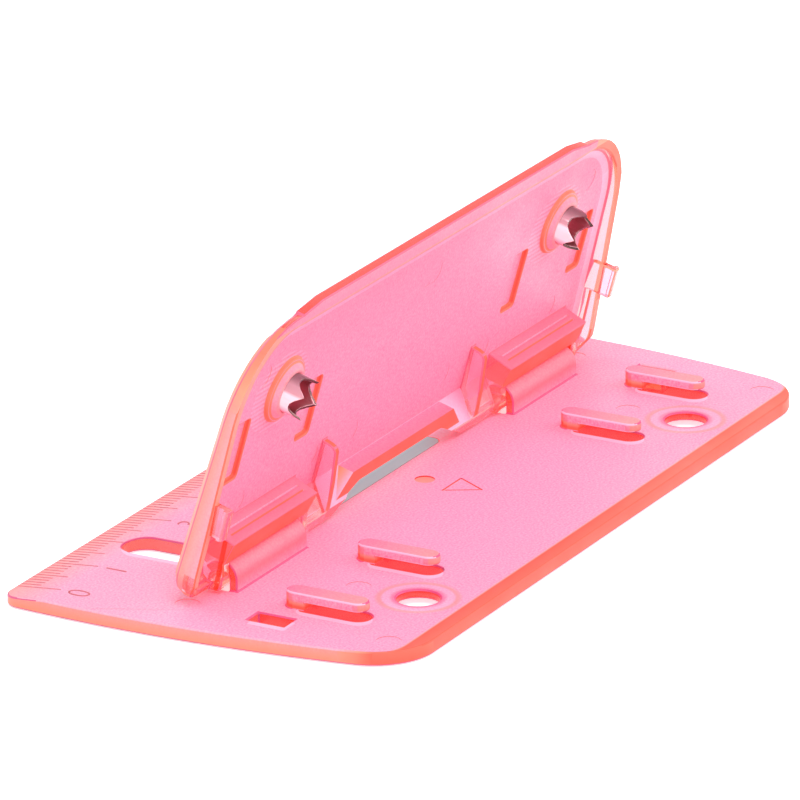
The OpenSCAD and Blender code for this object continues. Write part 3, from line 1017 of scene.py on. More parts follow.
    @staticmethod
    def flat_faces(made: Piece, frame: Matrix) -> tuple[np.ndarray, np.ndarray, np.ndarray]:
        """Reads a mesh as arrays.

        Args:
            made: The object.
            frame: Matrix into the frame that the result is given in.

        Returns:
            The faces' centres, the faces' normals and the corners' places, in millimetres.
        """
        mesh = made.data
        place = np.array(frame)
        turn, shift = place[:3, :3].T, place[:3, 3]
        centres = MeshKit.read(mesh.polygons, "center", 3, np.float32)
        normals = MeshKit.read(mesh.polygons, "normal", 3, np.float32)
        points = MeshKit.read(mesh.vertices, "co", 3, np.float32)
        corners = MeshKit.read(mesh.loops, "vertex_index", 1, np.int32)
        return (centres @ turn + shift) / MM, normals @ turn, ((points @ turn + shift) / MM)[corners]

    @staticmethod
    def dress(
        made: Piece,
        finishes: tuple[bpy.types.Material, bpy.types.Material],
        grained: FaceRule,
        edge: Tint,
        zones: list[Zone],
        frame: Matrix,
    ) -> None:
        """Gives a moulding its clear and its grained finish, and the painted glow, highlight and shade of its
        zones.

        Args:
            made: The moulding.
            finishes: The clear finish and the grained one.
            grained: Tells from the faces' centres and normals which faces are grained.
            edge: Painted shade, with any painted glow, of the thin faces along rounded edges.
            zones: The zones of painted glow, highlight and shade; a later one covers an earlier one.
            frame: Matrix into the frame that the rule and the zones are written for.
        """
        mesh = made.data
        rounded = MeshKit.read(mesh.polygons, "material_index", 1, np.int32) == MeshKit.ROUNDED
        mesh.materials.clear()
        for finish in finishes:
            mesh.materials.append(finish)
        centre, normal, corner = MeshKit.flat_faces(made, frame)
        mesh.polygons.foreach_set("material_index", (grained(centre, normal) | rounded).astype(np.int32))
        side = np.where(centre[:, :1] < 0.0, -1.0, 1.0)
        outward = np.concatenate((side, np.ones_like(side), np.ones_like(side)), axis=1)
        counts = MeshKit.read(mesh.polygons, "loop_total", 1, np.int32)
        face = np.repeat(np.arange(len(counts)), counts)
        tints = np.zeros((len(face), 4), np.float32)
        tints[:, 3] = 1.0
        tints[rounded[face], :3] = edge.row()
        for zone in zones:
            rows = (zone.picks(centre * outward, normal * outward) & (rounded == zone.edges))[face]
            tints[rows, :3] = zone.tints((corner * outward[face])[rows])
        layer = mesh.attributes.new(TINTS, "FLOAT_COLOR", "CORNER")
        layer.data.foreach_set("color", tints.ravel())


class GeometryTree:
    """A Geometry Nodes tree that is run once on an empty mesh."""

    def __init__(self, name: str, inputs: Sockets) -> None:
        """Starts the tree with its named inputs.

        Args:
            name: Name of the tree and of the piece that it makes.
            inputs: Value of each input, by name.
        """
        self.name = name
        self.values = inputs
        self.tree = bpy.data.node_groups.new(name, "GeometryNodeTree")
        self.net = NodeNet(self.tree)
        self.tree.interface.new_socket(name="Geometry", in_out="OUTPUT", socket_type="NodeSocketGeometry")
        self.identifiers: dict[str, str] = {}
        for key, value in inputs.items():
            kind = "NodeSocketFloat"
            if isinstance(value, int):
                kind = "NodeSocketInt"
            elif isinstance(value, bpy.types.Material):
                kind = "NodeSocketMaterial"
            made = self.tree.interface.new_socket(name=key, in_out="INPUT", socket_type=kind)
            self.identifiers[key] = made.identifier
        self.source = self.net.add("NodeGroupInput").outputs
        self.target = self.net.add("NodeGroupOutput")

    def copies(self, shape: Socket, spot: Socket, size: Socket, turn: Any = None) -> Socket:
        """Puts copies of a shape on as many places as the input named Count says.

        Args:
            shape: The shape, of unit size.
            spot: The place of each copy.
            size: The size of each copy.
            turn: The turn of each copy, if any.

        Returns:
            The instances.
        """
        line = self.net.add("GeometryNodeMeshLine", {"Count": self.source["Count"]})
        placed = self.net.add("GeometryNodeSetPosition", {"Geometry": line.outputs[0], "Position": spot})
        inputs = {"Points": placed.outputs[0], "Instance": shape, "Scale": size}
        if turn is not None:
            inputs["Rotation"] = turn
        return self.net.add("GeometryNodeInstanceOnPoints", inputs).outputs[0]

    def close(self, geometry: Socket) -> Piece:
        """Ends the tree and turns its result into a plain piece.

        Args:
            geometry: The instances that the tree makes.

        Returns:
            The piece, with a plain mesh.
        """
        real = self.net.add("GeometryNodeRealizeInstances", {0: geometry})
        dressed = self.net.add(
            "GeometryNodeSetMaterial", {"Geometry": real.outputs[0], "Material": self.source["Finish"]}
        )
        self.net.feed(self.target.inputs[0], dressed.outputs[0])
        made = MeshKit.link(self.name, bpy.data.meshes.new(self.name))
        modifier = made.modifiers.new("nodes", "NODES")
        modifier.node_group = self.tree
        for key, value in self.values.items():
            modifier[self.identifiers[key]] = value
        return MeshKit.settle(made)


@dataclass
class Plate:
    """The base plate with its ruler, in millimetres."""

    finishes: Finishes
    top: float = 2.0
    rear: float = 30.5
    bevel: float = 7.0
    edge_top: float = 1.3
    rounding: float = 0.22
    shortest: float = 0.5
    ruler_start: float = -60.0
    ruler_length: int = 120
    ruler_inset: float = 0.25
    short_tick: float = 3.2
    medium_tick: float = 5.0
    long_tick: float = 6.9
    medium_every: int = 5
    long_every: int = 10
    tick_width: float = 0.24
    tick_height: float = 0.05
    digit_size: float = 4.9
    digit_y: float = 18.8
    thinning: float = 0.09
    # Centimetres that the ring slots take the place of
    slot_marks: tuple[int, ...] = (2, 10)
    pieces: list[Piece] = field(default_factory=list)

    @property
    def slope(self) -> float:
        """Angle of the ruler bevel, in radians."""
        return math.atan2(self.top - self.edge_top, self.bevel)

    def build(self) -> None:
        """Builds the plate's pieces."""
        body = MeshKit.moulding(Part.PLATE, "plate_body", self.rounding * MM, self.shortest * MM)
        both = (self.finishes.plate, self.finishes.plate_grain)
        # Painted shade as dark lines along the rounded edges, and the zones' painted glow, highlight and
        # shade
        MeshKit.dress(body, both, self.grained, Tint(deep=0.9), self.zones(), Matrix.Identity(4))
        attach(body, Body.BASE.value)
        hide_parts(Part.PLATE.value)
        self.pieces.append(body)
        for made in (self.ticks(), self.digits()):
            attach(made, Body.BASE.value)
            self.pieces.append(made)

    def grained(self, centre: np.ndarray, normal: np.ndarray) -> np.ndarray:
        """Picks the plate's faces that have the fine grain.

        Args:
            centre: Centres of the faces, in millimetres.
            normal: Normals of the faces.

        Returns:
            A mask of those faces.
        """
        across, y, z = np.abs(centre[:, 0]), centre[:, 1], centre[:, 2]
        level = (np.abs(z - self.top) < 0.35) | (z < 0.05)
        broad = (np.abs(normal[:, 2]) > 0.95) & (level | (y > self.rear - self.bevel - 0.3))
        outward = (normal[:, 1] < -0.5) | (normal[:, 2] > 0.5)
        clip = (z > self.top) & between(y, 1.0, 7.0) & outward
        hook = (z > self.top) & (y < -6.0)
        rim = (across > 58.6) | (np.abs(y) > 30.0) | ((across > 55.5) & (y < -26.0))
        return broad | clip | hook | rim

    def zones(self) -> list[Zone]:
        """Lists the zones of painted glow, highlight and shade on the plate.

        Returns:
            The zones, of which a later one covers an earlier one.
        """
        top = self.top
        found = [
            # walls of holes and slots
            Zone((0.0, -30.0, 0.0), (58.6, 29.0, top), UP, Tint(0.95), closeness=-0.3),
            Zone((0.0, -FAR, -1.0), (FAR, FAR, top), UP, Tint(), closeness=0.8, either_way=True),
            Zone((54.0, -11.0, 0.0), (58.5, -4.0, top), FRONT, Tint(0.35), Tint(0.6)),
            Zone((36.0, 10.5, 0.0), (44.0, 25.5, top), UP, Tint(0.6), Tint(0.45), closeness=-0.3),
            Zone((36.0, 10.5, -1.0), (44.0, 25.5, top), UP, Tint(), closeness=0.8, either_way=True),
            # engraved marks
            Zone((0.0, -30.0, 1.6), (58.6, 23.0, top - 0.08), UP, Tint(0.4), closeness=0.9),
            # outer edges
            Zone((0.0, -FAR, 0.0), (FAR, -30.2, top), FRONT, Tint(0.92), Tint(0.98)),
            Zone((50.0, -FAR, 0.0), (FAR, -15.0, top), (0.7, -0.7, 0.0), Tint(0.95), Tint(0.85)),
            Zone((57.0, -25.0, 0.0), (FAR, FAR, top), OUTWARD, Tint(0.56), Tint(0.34)),
            Zone((57.0, -25.6, 0.0), (FAR, -21.6, top), (1.0, -0.3, 0.0), Tint(0.95), Tint(0.45), axis=1),
            Zone((0.0, 30.0, 0.0), (FAR, FAR, top), REAR, Tint(0.5)),
            Zone((58.0, -FAR, 1.6), (FAR, FAR, top), UP, Tint(0.1, 0.45), closeness=0.2, edges=True),
            Zone((0.0, -FAR, 1.6), (FAR, -29.0, top), UP, Tint(0.97), closeness=0.2, edges=True),
            Zone((55.0, -FAR, 1.6), (FAR, -24.0, top), UP, Tint(0.9), closeness=0.2, edges=True),
            Zone((55.0, -25.6, 1.6), (FAR, -21.6, top), UP, Tint(0.9), Tint(0.1, 0.45), 1, 0.2, edges=True),
            # ruler edge
            Zone((0.0, 23.4, 0.0), (FAR, 30.6, top), UP, Tint(), Tint(0.34), axis=1),
        ]
        found += self.clip_zones()
        for x in (30.0, 50.0):
            found += self.hook_zones(x)
        return found

    def clip_zones(self) -> list[Zone]:
        """Lists the zones of painted glow, highlight and shade on the hinge clips.

        Returns:
            The zones.
        """
        # Painted shade, with a little painted glow, that is deepest in the middle of each clip
        middle = Tint(0.14, 0.0, 0.68)
        crown = (0.0, -0.7, 0.7)
        return [
            Zone((28.0, 1.0, self.top), (52.0, 2.2, 3.8), FRONT, Tint(0.0, 0.15, 0.15), middle),
            Zone((28.0, 1.0, 3.6), (52.0, 7.0, 6.6), crown, middle, Tint(0.08, 0.0, 0.3), closeness=0.3),
            Zone((28.0, 1.0, self.top), (52.0, 7.0, 6.6), OUTWARD, Tint(0.65), either_way=True),
        ]

    def hook_zones(self, x: float) -> list[Zone]:
        """Lists the zones of painted glow, highlight and shade on two paper hooks.

        Args:
            x: Distance of the hooks from the middle.

        Returns:
            The zones.
        """
        tongue, high = (x - 1.8, -19.3, 3.0), (x + 1.8, -6.3, 4.5)
        post = (x - 1.8, -10.3, self.top)
        return [
            Zone(tongue, high, OUTWARD, Tint(0.15, 0.0, 0.6), Tint(0.05, 0.1, 0.15), either_way=True),
            Zone(post, high, REAR, Tint(0.7), Tint(0.1, 0.0, 0.8), closeness=0.4),
            Zone(tongue, high, UP, Tint(0.3), Tint(deep=0.5), axis=1, closeness=0.9),
            Zone(tongue, high, FRONT, Tint(0.5), Tint(0.25), closeness=0.4),
            Zone(tongue, high, (-1.0, 0.0, 0.3), Tint(cool=1.0), closeness=0.5, edges=True),
            Zone(tongue, high, (1.0, 0.0, 0.3), Tint(cool=1.0), closeness=0.5, edges=True),
        ]

    def ticks(self) -> Piece:
        """Makes the moulded lines of the ruler, one for each millimetre.

        Returns:
            The piece.
        """
        tree = GeometryTree(
            "ruler_lines",
            {
                "Count": self.ruler_length + 1,
                "Start": self.ruler_start * MM,
                "Pitch": MM,
                "Edge": (self.rear - self.ruler_inset) * MM,
                "Edge Height": self.edge_top * MM,
                "Slope": self.slope,
                "Short": self.short_tick * MM,
                "Medium": self.medium_tick * MM,
                "Long": self.long_tick * MM,
                "Width": self.tick_width * MM,
                "Thickness": 2.0 * self.tick_height * MM,
                "Finish": self.finishes.lines,
            },
        )
        net, source = tree.net, tree.source
        index = net.add("GeometryNodeInputIndex").outputs[0]
        is_medium = self.is_number(net, net.maths("MODULO", index, self.medium_every), 0)
        is_long = self.is_number(net, net.maths("MODULO", index, self.long_every), 0)
        for mark in self.slot_marks:
            is_long = net.maths("SUBTRACT", is_long, self.is_number(net, index, self.long_every * mark))
        medium_more = net.product(is_medium, net.maths("SUBTRACT", source["Medium"], source["Short"]))
        long_more = net.product(is_long, net.maths("SUBTRACT", source["Long"], source["Medium"]))
        length = net.maths("ADD", source["Short"], net.maths("ADD", medium_more, long_more))
        half = net.product(length, 0.5)
        slope = source["Slope"]
        spot = net.spot(
            net.maths("MULTIPLY_ADD", index, source["Pitch"], source["Start"]),
            net.maths("SUBTRACT", source["Edge"], net.product(half, net.maths("COSINE", slope))),
            net.maths("ADD", source["Edge Height"], net.product(half, net.maths("SINE", slope))),
        )
        bar = net.add("GeometryNodeMeshCube", {"Size": (1.0, 1.0, 1.0)}).outputs[0]
        size = net.spot(source["Width"], length, source["Thickness"])
        return tree.close(tree.copies(bar, spot, size, net.spot(net.product(slope, -1.0))))

    @staticmethod
    def is_number(net: NodeNet, value: Socket, number: int) -> Socket:
        """Returns 1 where a whole value is that number, and 0 elsewhere."""
        return net.maths("COMPARE", value, number, 0.1)

    def digits(self) -> Piece:
        """Makes the ruler's numbers, apart from those that the ring slots take the place of.

        Returns:
            The piece.
        """
        work = bmesh.new()
        for number in range(self.ruler_length // self.long_every + 1):
            if number in self.slot_marks:
                continue
            mesh = self.digit(number)
            work.from_mesh(mesh)
            bpy.data.meshes.remove(mesh)
        joined = bpy.data.meshes.new("ruler_numbers")
        work.to_mesh(joined)
        work.free()
        joined.materials.append(self.finishes.lines)
        return MeshKit.link("ruler_numbers", joined)

    def digit(self, number: int) -> bpy.types.Mesh:
        """Makes one number of the ruler as a mesh in its place.

        Args:
            number: The number that is shown.

        Returns:
            The mesh, in metres, lying on the plate.
        """
        text = bpy.data.curves.new(f"number_{number}", "FONT")
        text.body = str(number)
        text.size = self.digit_size * MM
        text.align_x = "CENTER"
        text.extrude = self.tick_height * MM
        text.offset = -self.thinning * MM
        text.fill_mode = "BOTH"
        holder = MeshKit.link(text.name, text)
        graph = bpy.context.evaluated_depsgraph_get()
        mesh = bpy.data.meshes.new_from_object(holder.evaluated_get(graph))
        spot = Vector((self.ruler_start + self.long_every * number, self.digit_y, self.top)) * MM
        mesh.transform(Matrix.Translation(spot))
        bpy.data.objects.remove(holder)
        bpy.data.curves.remove(text)
        return mesh


@dataclass
class Lid:
    """The hinged lid with its thumb pads, in millimetres in the closed lid's own frame."""

    finishes: Finishes
    hinge: Hinge = field(default_factory=Hinge)
    floor: float = 2.4
    back: float = 3.9
    rounding: float = 0.2
    shortest: float = 0.45
    fin_x: float = 21.7
    boss_r: float = 5.0
    boss_height: float = 1.4
    pad_x: float = 40.0
    pad_y: float = -25.35
    pad_half_width: float = 8.5
    pad_half_height: float = 6.6
    rib_pitch: float = 0.75
    rib_width: float = 0.45
    rib_height: float = 0.12
    rib_sides: int = 8
    pieces: list[Piece] = field(default_factory=list)

    def build(self) -> None:
        """Builds the lid's pieces."""
        sizes = (self.rounding * MM, self.shortest * MM)
        body = MeshKit.moulding(Part.LID, "lid_body", *sizes, self.stays_sharp)
        both = (self.finishes.lid, self.finishes.lid_grain)
        # Painted shade with a little painted glow along the rounded edges, and the zones' painted glow,
        # highlight and shade
        MeshKit.dress(body, both, self.grained, Tint(0.1, deep=0.85), self.zones(), self.hinge.closed())
        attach(body, Body.LID.value)
        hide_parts(Part.LID.value)
        self.pieces.append(body)
        pads = self.pads()
        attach(pads, Body.LID.value)
        self.pieces.append(pads)

    def stays_sharp(self, middle: Vector) -> bool:
        """Tells whether an edge lies at the thin frame round the notch or inside the front rim.

        Args:
            middle: Middle of the edge, in metres.

        Returns:
            True for an edge that isn't rounded.
        """
        spot = self.hinge.closed() @ middle / MM
        at_frame = abs(spot.x) < 29.0 and spot.y > -5.0
        in_rim = abs(spot.x) < 43.0 and -37.2 < spot.y < -33.0
        return at_frame or in_rim

    def grained(self, centre: np.ndarray, normal: np.ndarray) -> np.ndarray:
        """Picks the lid's faces that have the fine grain.

        Args:
            centre: Centres of the faces, in millimetres.
            normal: Normals of the faces.

        Returns:
            A mask of those faces.
        """
        x, y, z = centre.T
        look_x, look_y, look_z = normal.T
        across, floor = np.abs(x), self.floor
        inner = (look_z < -0.93) & (np.abs(z - floor) < 0.3)
        outer = (look_z > 0.95) & (z > self.back - 0.1)
        pocket = (look_z < -0.95) & (z > floor + 0.5)
        from_axis = np.hypot(across - self.pad_x, y - self.pad_y)
        boss = (from_axis < self.boss_r) & (z > floor - self.boss_height)
        rim_edge = (look_z < -0.99) & (y < -12.0) & (z < floor - 0.3)
        facing = (look_y < -0.8) & between(y, -8.0, -3.5)
        frame = (across < 21.0) & (y > -4.8)
        block = between(across, 27.0, 53.0) & between(y, -7.7, -2.5)
        sunk = between(z, floor + 0.02, floor + 0.7)
        wall = sunk & between(across, 26.0, 54.0) & between(y, -30.0, -10.0)
        fin = (np.abs(across - self.fin_x) < 0.75) & (np.abs(look_x) < 0.5)
        at_side = (x < -54.5) | ((x < -40.0) & (y < -25.0))
        near_side = at_side & (look_x < -0.2) & (z > 0.9)
        return inner | outer | pocket | boss | rim_edge | facing | frame | block | wall | fin | near_side

    def zones(self) -> list[Zone]:
        """Returns the zones of painted glow, highlight and shade on the lid."""
        return self.rim_zones() + self.floor_zones() + self.hinge_zones()

    def rim_zones(self) -> list[Zone]:
        """Lists the zones of painted glow, highlight and shade on the outer walls, the rim and the finger
        ledge.

        Returns:
            The zones.
        """
        floor, back, edge = self.floor, self.back, self.floor - 0.3
        ledge = ((0.0, -FAR, 1.3), (42.0, -36.0, 3.1))
        # lit is a painted glow and pale a painted highlight
        lit, pale = Tint(0.85), Tint(cool=0.5)
        return [
            # outer rounding and side walls
            Zone((50.0, -38.6, -1.0), (FAR, 4.0, back), OUTWARD, Tint(0.08, 0.4), Tint(0.5), closeness=0.25),
            Zone((0.0, -FAR, -1.0), (FAR, -30.0, back), FRONT, Tint(0.4), Tint(0.7), closeness=0.25),
            Zone((0.0, 0.0, -1.0), (FAR, FAR, back), REAR, Tint(0.6), closeness=0.25),
            Zone((40.0, -FAR, -1.0), (FAR, -35.0, back), (0.7, -0.7, 0.0), lit, closeness=0.5),
            Zone((40.0, -35.0, -1.0), (FAR, -28.0, back), (0.9, -0.4, 0.0), lit, Tint(0.36), 1, 0.5),
            # hollow side of the rim
            Zone((50.0, -FAR, -1.0), (FAR, FAR, floor), INWARD, Tint(cool=1.0), pale, closeness=0.2),
            Zone((0.0, -FAR, 1.0), (FAR, -30.0, floor), REAR, Tint(cool=0.35), closeness=0.1),
            # edge of the rim
            Zone((0.0, -36.4, -1.0), (FAR, -12.0, edge), DOWN, Tint(0.42), closeness=0.99),
            Zone((50.0, -12.0, -1.0), (FAR, FAR, edge), DOWN, Tint(0.8), closeness=0.9),
            Zone((0.0, -FAR, 0.5), (FAR, -36.0, edge), DOWN, Tint(0.05, 0.05, 0.1), closeness=0.99),
            Zone((43.0, -36.4, -1.0), (FAR, 0.0, 1.6), DOWN, Tint(0.9), closeness=0.2, edges=True),
            # finger ledge
            Zone(*ledge, FRONT, Tint(0.9), closeness=0.1),
            Zone(*ledge, UP, lit, closeness=0.9),
        ]

    def floor_zones(self) -> list[Zone]:
        """Lists the zones of painted glow, highlight and shade on the pockets over the hooks and the cutters'
        bosses.

        Returns:
            The zones.
        """
        floor = self.floor
        pocket = ((26.0, -25.0, floor), (54.0, -12.0, floor + 0.68))
        found = [
            Zone(*pocket, OUTWARD, Tint(0.93), closeness=0.5, either_way=True),
            Zone(*pocket, FRONT, Tint(0.9), closeness=0.5, either_way=True),
            Zone((26.0, -25.0, floor - 0.1), pocket[1], FRONT, Tint(0.85), closeness=-1.0, edges=True),
        ]
        # Heights of the bosses' zones above and below, facing, tint, closeness and whether on rounded edges
        bosses = (
            (floor - 0.52, floor, UP, Tint(0.75), -0.3, False),
            (1.0, floor - 0.4, DOWN, Tint(0.1, 0.1, 0.1), 0.2, False),
            (floor - 0.6, floor, DOWN, Tint(0.75), -1.0, True),
            (0.9, floor - 0.6, DOWN, Tint(0.2), -1.0, True),
        )
        for low, high, facing, tint, closeness, edges in bosses:
            box = ((35.0, -30.3, low), (45.0, -20.4, high))
            found.append(Zone(*box, facing, tint, closeness=closeness, edges=edges))
        return found

    def hinge_zones(self) -> list[Zone]:
        """Lists the zones of painted glow, highlight and shade near the lid's rear edge.

        Returns:
            The zones.
        """
        floor, x = self.floor, self.fin_x
        fin = ((x - 0.7, -11.2, -1.0), (x + 0.7, -0.3, floor))
        fin_edge = ((x - 0.62, -11.2, -1.0), (x + 0.62, -0.3, floor))
        block = ((27.0, -7.6, -1.6), (53.0, -2.5, floor))
        cheek = ((27.0, -2.8, -1.4), (53.0, 1.6, floor))
        tab = ((55.5, -14.2, -2.3), (57.6, -9.0, floor))
        # dim is a weak painted glow with a painted highlight, and red a strong painted glow
        dim, red = Tint(0.15, 0.4), Tint(0.95)
        return [
            # rear wall between the hinge blocks
            Zone((0.0, -5.0, -1.0), (29.0, 2.0, floor), FRONT_DOWN, Tint(cool=0.6), closeness=0.5),
            Zone((0.0, -1.0, -1.0), (29.0, 2.0, 0.0), DOWN, Tint(cool=0.5)),
            # frame round the notch
            Zone((0.0, -4.4, -0.3), (20.0, 2.0, 0.1), DOWN, Tint(0.9), closeness=0.9),
            Zone((0.0, -4.6, -0.2), (20.0, -3.9, floor), FRONT, Tint(0.08, 0.0, 0.55), Tint(deep=0.3)),
            Zone((14.0, -4.6, -0.2), (22.0, 2.0, floor), OUTWARD, Tint(cool=0.75), Tint(0.75), closeness=0.5),
            Zone((0.0, -2.6, -1.0), (22.0, 2.0, 4.0), REAR, red, closeness=0.5),
            Zone((9.0, -2.6, -1.0), (22.0, 2.0, 4.0), (-0.6, 0.8, 0.0), red, closeness=0.3),
            # hinge blocks
            Zone(*block, FRONT, Tint(0.12, 0.0, 0.8), Tint(0.08, 0.0, 0.65), closeness=0.5),
            Zone(*block, FRONT_DOWN, Tint(0.6), closeness=0.9),
            Zone((27.0, -7.0, -1.6), (53.0, -2.5, 0.5), DOWN, Tint(0.92), closeness=0.6),
            Zone(*block, OUTWARD, Tint(cool=0.5), Tint(0.45), closeness=0.8, either_way=True),
            Zone((27.0, -3.1, -1.6), (53.0, 2.0, floor), REAR, Tint(0.5), closeness=0.6),
            # cheeks and bars
            Zone(cheek[0], (53.0, 1.6, 0.4), DOWN, Tint(0.3, 0.3), closeness=0.3),
            Zone(*cheek, OUTWARD, dim, Tint(cool=0.5), closeness=0.8, either_way=True),
            # fins
            Zone(*fin, OUTWARD, Tint(cool=0.25), either_way=True),
            Zone(*fin_edge, FRONT_DOWN, red, closeness=0.3),
            # latch tabs
            Zone(*tab, OUTWARD, Tint(cool=0.5), closeness=0.5, either_way=True),
            Zone(*tab, FRONT, Tint(0.2, 0.2), closeness=0.5, either_way=True),
            Zone(tab[0], (57.6, -9.0, -1.2), DOWN, Tint(0.3), closeness=0.5),
        ]

    def pads(self) -> Piece:
        """Makes the ribs of both thumb pads on the lid's outer face.

        Returns:
            The piece.
        """
        tree = GeometryTree(
            "thumb_pads",
            {
                "Count": int(2 * self.pad_half_height / self.rib_pitch),
                "Pitch": self.rib_pitch * MM,
                "Half Width": self.pad_half_width * MM,
                "Half Height": self.pad_half_height * MM,
                "Rib Width": self.rib_width * MM,
                "Rib Height": 2.0 * self.rib_height * MM,
                "Side": self.pad_x * MM,
                "Middle": self.pad_y * MM,
                "Level": self.back * MM,
                "Finish": self.finishes.lid,
            },
        )
        net, source = tree.net, tree.source
        index = net.add("GeometryNodeInputIndex").outputs[0]
        last = net.maths("SUBTRACT", source["Count"], 1.0)
        offset = net.product(net.maths("SUBTRACT", index, net.product(last, 0.5)), source["Pitch"])
        share = net.maths("DIVIDE", offset, source["Half Height"])
        curve = net.maths("SQRT", net.maths("SUBTRACT", 1.0, net.product(share, share)))
        length = net.product(curve, source["Half Width"], 2.0)
        size = net.spot(length, source["Rib Width"], source["Rib Height"])
        along = net.maths("ADD", offset, source["Middle"])
        rod = {"Vertices": self.rib_sides, "Radius": 0.5, "Depth": 1.0}
        rib = net.add("GeometryNodeMeshCylinder", rod).outputs[0]
        laid = net.add("GeometryNodeTransform", {"Geometry": rib, "Rotation": (0.0, math.pi / 2.0, 0.0)})
        joined = net.add("GeometryNodeJoinGeometry")
        for side in (-1.0, 1.0):
            spot = net.spot(net.product(source["Side"], side), along, source["Level"])
            net.feed(joined.inputs[0], tree.copies(laid.outputs[0], spot, size))
        pads = tree.close(joined.outputs[0])
        pads.data.transform(self.hinge.opened())
        return pads


@dataclass
class Metalwork:
    """The two tube cutters and the strip, in millimetres.

    A face is on the outside or in the bore of a tube when it looks from or to the axis by side_share.
    """

    finishes: Finishes
    hinge: Hinge = field(default_factory=Hinge)
    hole_x: float = 40.0
    hinge_reach: float = 25.35
    rounding: float = 0.06
    shortest: float = 0.2
    side_share: float = 0.6
    pieces: list[Piece] = field(default_factory=list)

    def build(self) -> None:
        """Builds the tubes and dresses the strip."""
        for node, side in ((Part.LEFT_CUTTER, -1.0), (Part.RIGHT_CUTTER, 1.0)):
            self.pieces.append(self.tube(node, side * self.hole_x))
        strip = bpy.data.objects[Part.STRIP.value]
        strip.data.materials.clear()
        strip.data.materials.append(self.finishes.strip)

    def tube(self, node: Part, x: float) -> Piece:
        """Makes a cutter with painted reflection bands outside, a bore painted pink and darker as reflection
        and shade, and teeth painted dark as shade.

        Args:
            node: The CAD node that the tube stands for.
            x: Place of the tube's axis.

        Returns:
            The tube.
        """
        made = MeshKit.moulding(node, f"{node.value}_tube", self.rounding * MM, self.shortest * MM)
        made.data.materials.clear()
        for finish in (self.finishes.steel, self.finishes.bore, self.finishes.teeth):
            made.data.materials.append(finish)
        centre, normal, _ = MeshKit.flat_faces(made, self.hinge.closed())
        offset = centre[:, :2] - np.array((x, -self.hinge_reach))
        outwards = np.sum(offset * normal[:, :2], axis=1) / np.linalg.norm(offset, axis=1)
        inside = np.where(outwards < -self.side_share, 1, 2)
        index = np.where(outwards > self.side_share, 0, inside).astype(np.int32)
        made.data.polygons.foreach_set("material_index", index)
        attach(made, Body.LID.value)
        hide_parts(node.value)
        return made


@dataclass(frozen=True)
class Viewpoint:
    """Where the photograph was taken from, with lengths in millimetres and angles in degrees."""

    azimuth: float = -61.113
    elevation: float = 19.865
    roll: float = -0.432
    distance: float = 1249.82
    across: float = -3.325
    up: float = 13.388
    plate_shift: float = -0.25
    lens: float = 399.43
    sensor: float = 36.0
    clip: tuple[float, float] = (50.0, 20000.0)

    def build(self) -> None:
        """Makes the camera."""
        a, e, r = (math.radians(x) for x in (self.azimuth, self.elevation, self.roll))
        back = Vector((math.sin(a) * math.cos(e), -math.cos(a) * math.cos(e), math.sin(e)))
        level = Vector((math.cos(a), math.sin(a), 0.0))
        rise = back.cross(level)
        right = math.cos(r) * level + math.sin(r) * rise
        top = math.cos(r) * rise - math.sin(r) * level
        aim = self.across * right + self.up * top + Vector((0.0, self.plate_shift, 0.0))
        spot = self.distance * back + aim
        camera = bpy.data.cameras.new("photo_camera")
        camera.sensor_width = self.sensor
        camera.lens = self.lens
        camera.clip_start, camera.clip_end = (x * MM for x in self.clip)
        holder = MeshKit.link("photo_camera", camera)
        holder.matrix_world = Matrix.Translation(spot * MM) @ Matrix((right, top, back)).transposed().to_4x4()
        bpy.context.scene.camera = holder


@dataclass(frozen=True)
class Lamp:
    """A soft square lamp that looks at the punch, with lengths in metres and its power in watts."""

    name: str
    spot: Triple
    size: float
    power: float

    def build(self) -> None:
        """Makes the lamp."""
        light = bpy.data.lights.new(self.name, "AREA")
        light.shape = "SQUARE"
        light.size = self.size
        light.energy = self.power
        place = Vector(self.spot)
        holder = MeshKit.link(self.name, light)
        holder.matrix_world = Matrix.Translation(place) @ place.to_track_quat("Z", "Y").to_matrix().to_4x4()


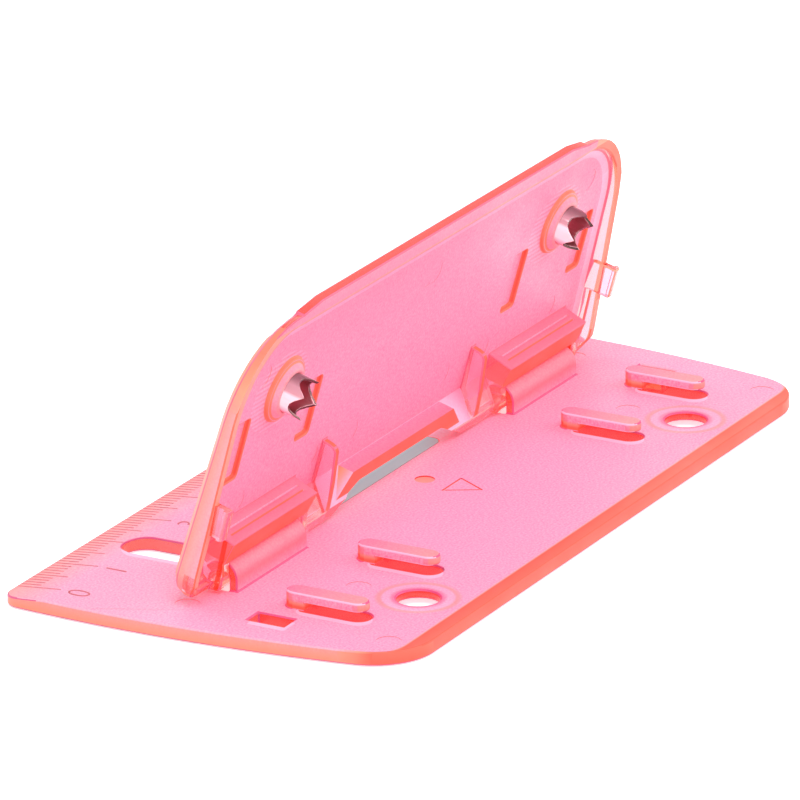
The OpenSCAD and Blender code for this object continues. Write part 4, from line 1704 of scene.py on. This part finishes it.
@dataclass(frozen=True)
class Studio:
    """Pale floor, soft lamps and a white surround, with lengths in metres."""

    floor_size: float = 6.0
    floor_drop: float = 0.0002
    floor_colour: Colour = (0.86, 0.86, 0.86)
    floor_light: float = 0.55
    surround_light: float = 0.55
    lamps: tuple[Lamp, ...] = (
        Lamp("key_lamp", (-0.35, -0.25, 0.75), 0.55, 5.0),
        Lamp("fill_lamp", (0.5, -0.6, 0.45), 0.6, 2.6),
        Lamp("rim_lamp", (0.1, 0.7, 0.5), 0.5, 1.7),
    )

    def build(self) -> None:
        """Builds the studio."""
        bpy.context.scene.view_settings.view_transform = "Standard"
        self.surround()
        self.floor()
        for lamp in self.lamps:
            lamp.build()

    @staticmethod
    def seen_rays(net: NodeNet) -> Socket:
        """Tells the camera, glossy and transmission rays from the others.

        Args:
            net: The net that the mask is made in.

        Returns:
            A mask of those rays.
        """
        path = net.add("ShaderNodeLightPath").outputs
        seen = net.maths("ADD", path["Is Camera Ray"], path["Is Glossy Ray"])
        return net.maths("MINIMUM", net.maths("ADD", seen, path["Is Transmission Ray"]), 1.0)

    def surround(self) -> None:
        """Makes the world white to the eye and softer as a light."""
        world = bpy.data.worlds.new("surround")
        world.use_nodes = True
        bpy.context.scene.world = world
        net = NodeNet(world.node_tree)
        more = 1.0 - self.surround_light
        strength = net.maths("MULTIPLY_ADD", self.seen_rays(net), more, self.surround_light)
        light = net.add("ShaderNodeBackground", {"Color": (1.0, 1.0, 1.0), "Strength": strength})
        net.add("ShaderNodeOutputWorld", {"Surface": light.outputs[0]})

    def floor(self) -> None:
        """Makes the floor, which looks white and keeps the shadow."""
        half = self.floor_size / 2.0
        mesh = bpy.data.meshes.new("floor")
        corners = [(-half, -half, 0.0), (half, -half, 0.0), (half, half, 0.0), (-half, half, 0.0)]
        mesh.from_pydata(corners, [], [(0, 1, 2, 3)])
        mesh.transform(Matrix.Translation((0.0, 0.0, -self.floor_drop)))
        material = bpy.data.materials.new("floor_paper")
        material.use_nodes = True
        net = NodeNet(material.node_tree)
        diffuse = net.add("ShaderNodeBsdfDiffuse", {"Color": self.floor_colour})
        strength = net.product(self.seen_rays(net), self.floor_light)
        light = net.add("ShaderNodeEmission", {"Color": (1.0, 1.0, 1.0), "Strength": strength})
        both = net.add("ShaderNodeAddShader", {0: diffuse.outputs[0], 1: light.outputs[0]})
        net.add("ShaderNodeOutputMaterial", {"Surface": both.outputs[0]})
        mesh.materials.append(material)
        MeshKit.link("floor", mesh)


def main() -> None:
    """Builds the dressed punch, its studio and its camera."""
    logging.basicConfig(level=logging.INFO, format="%(name)s: %(message)s")
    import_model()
    finishes = Finishes(ShaderGroups())
    for assembly in (Plate(finishes), Lid(finishes), Metalwork(finishes)):
        assembly.build()
        for piece in assembly.pieces:
            LOG.info("%s has %d faces", piece.name, len(piece.data.polygons))
    Studio().build()
    Viewpoint().build()


if __name__ == "__main__":
    main()
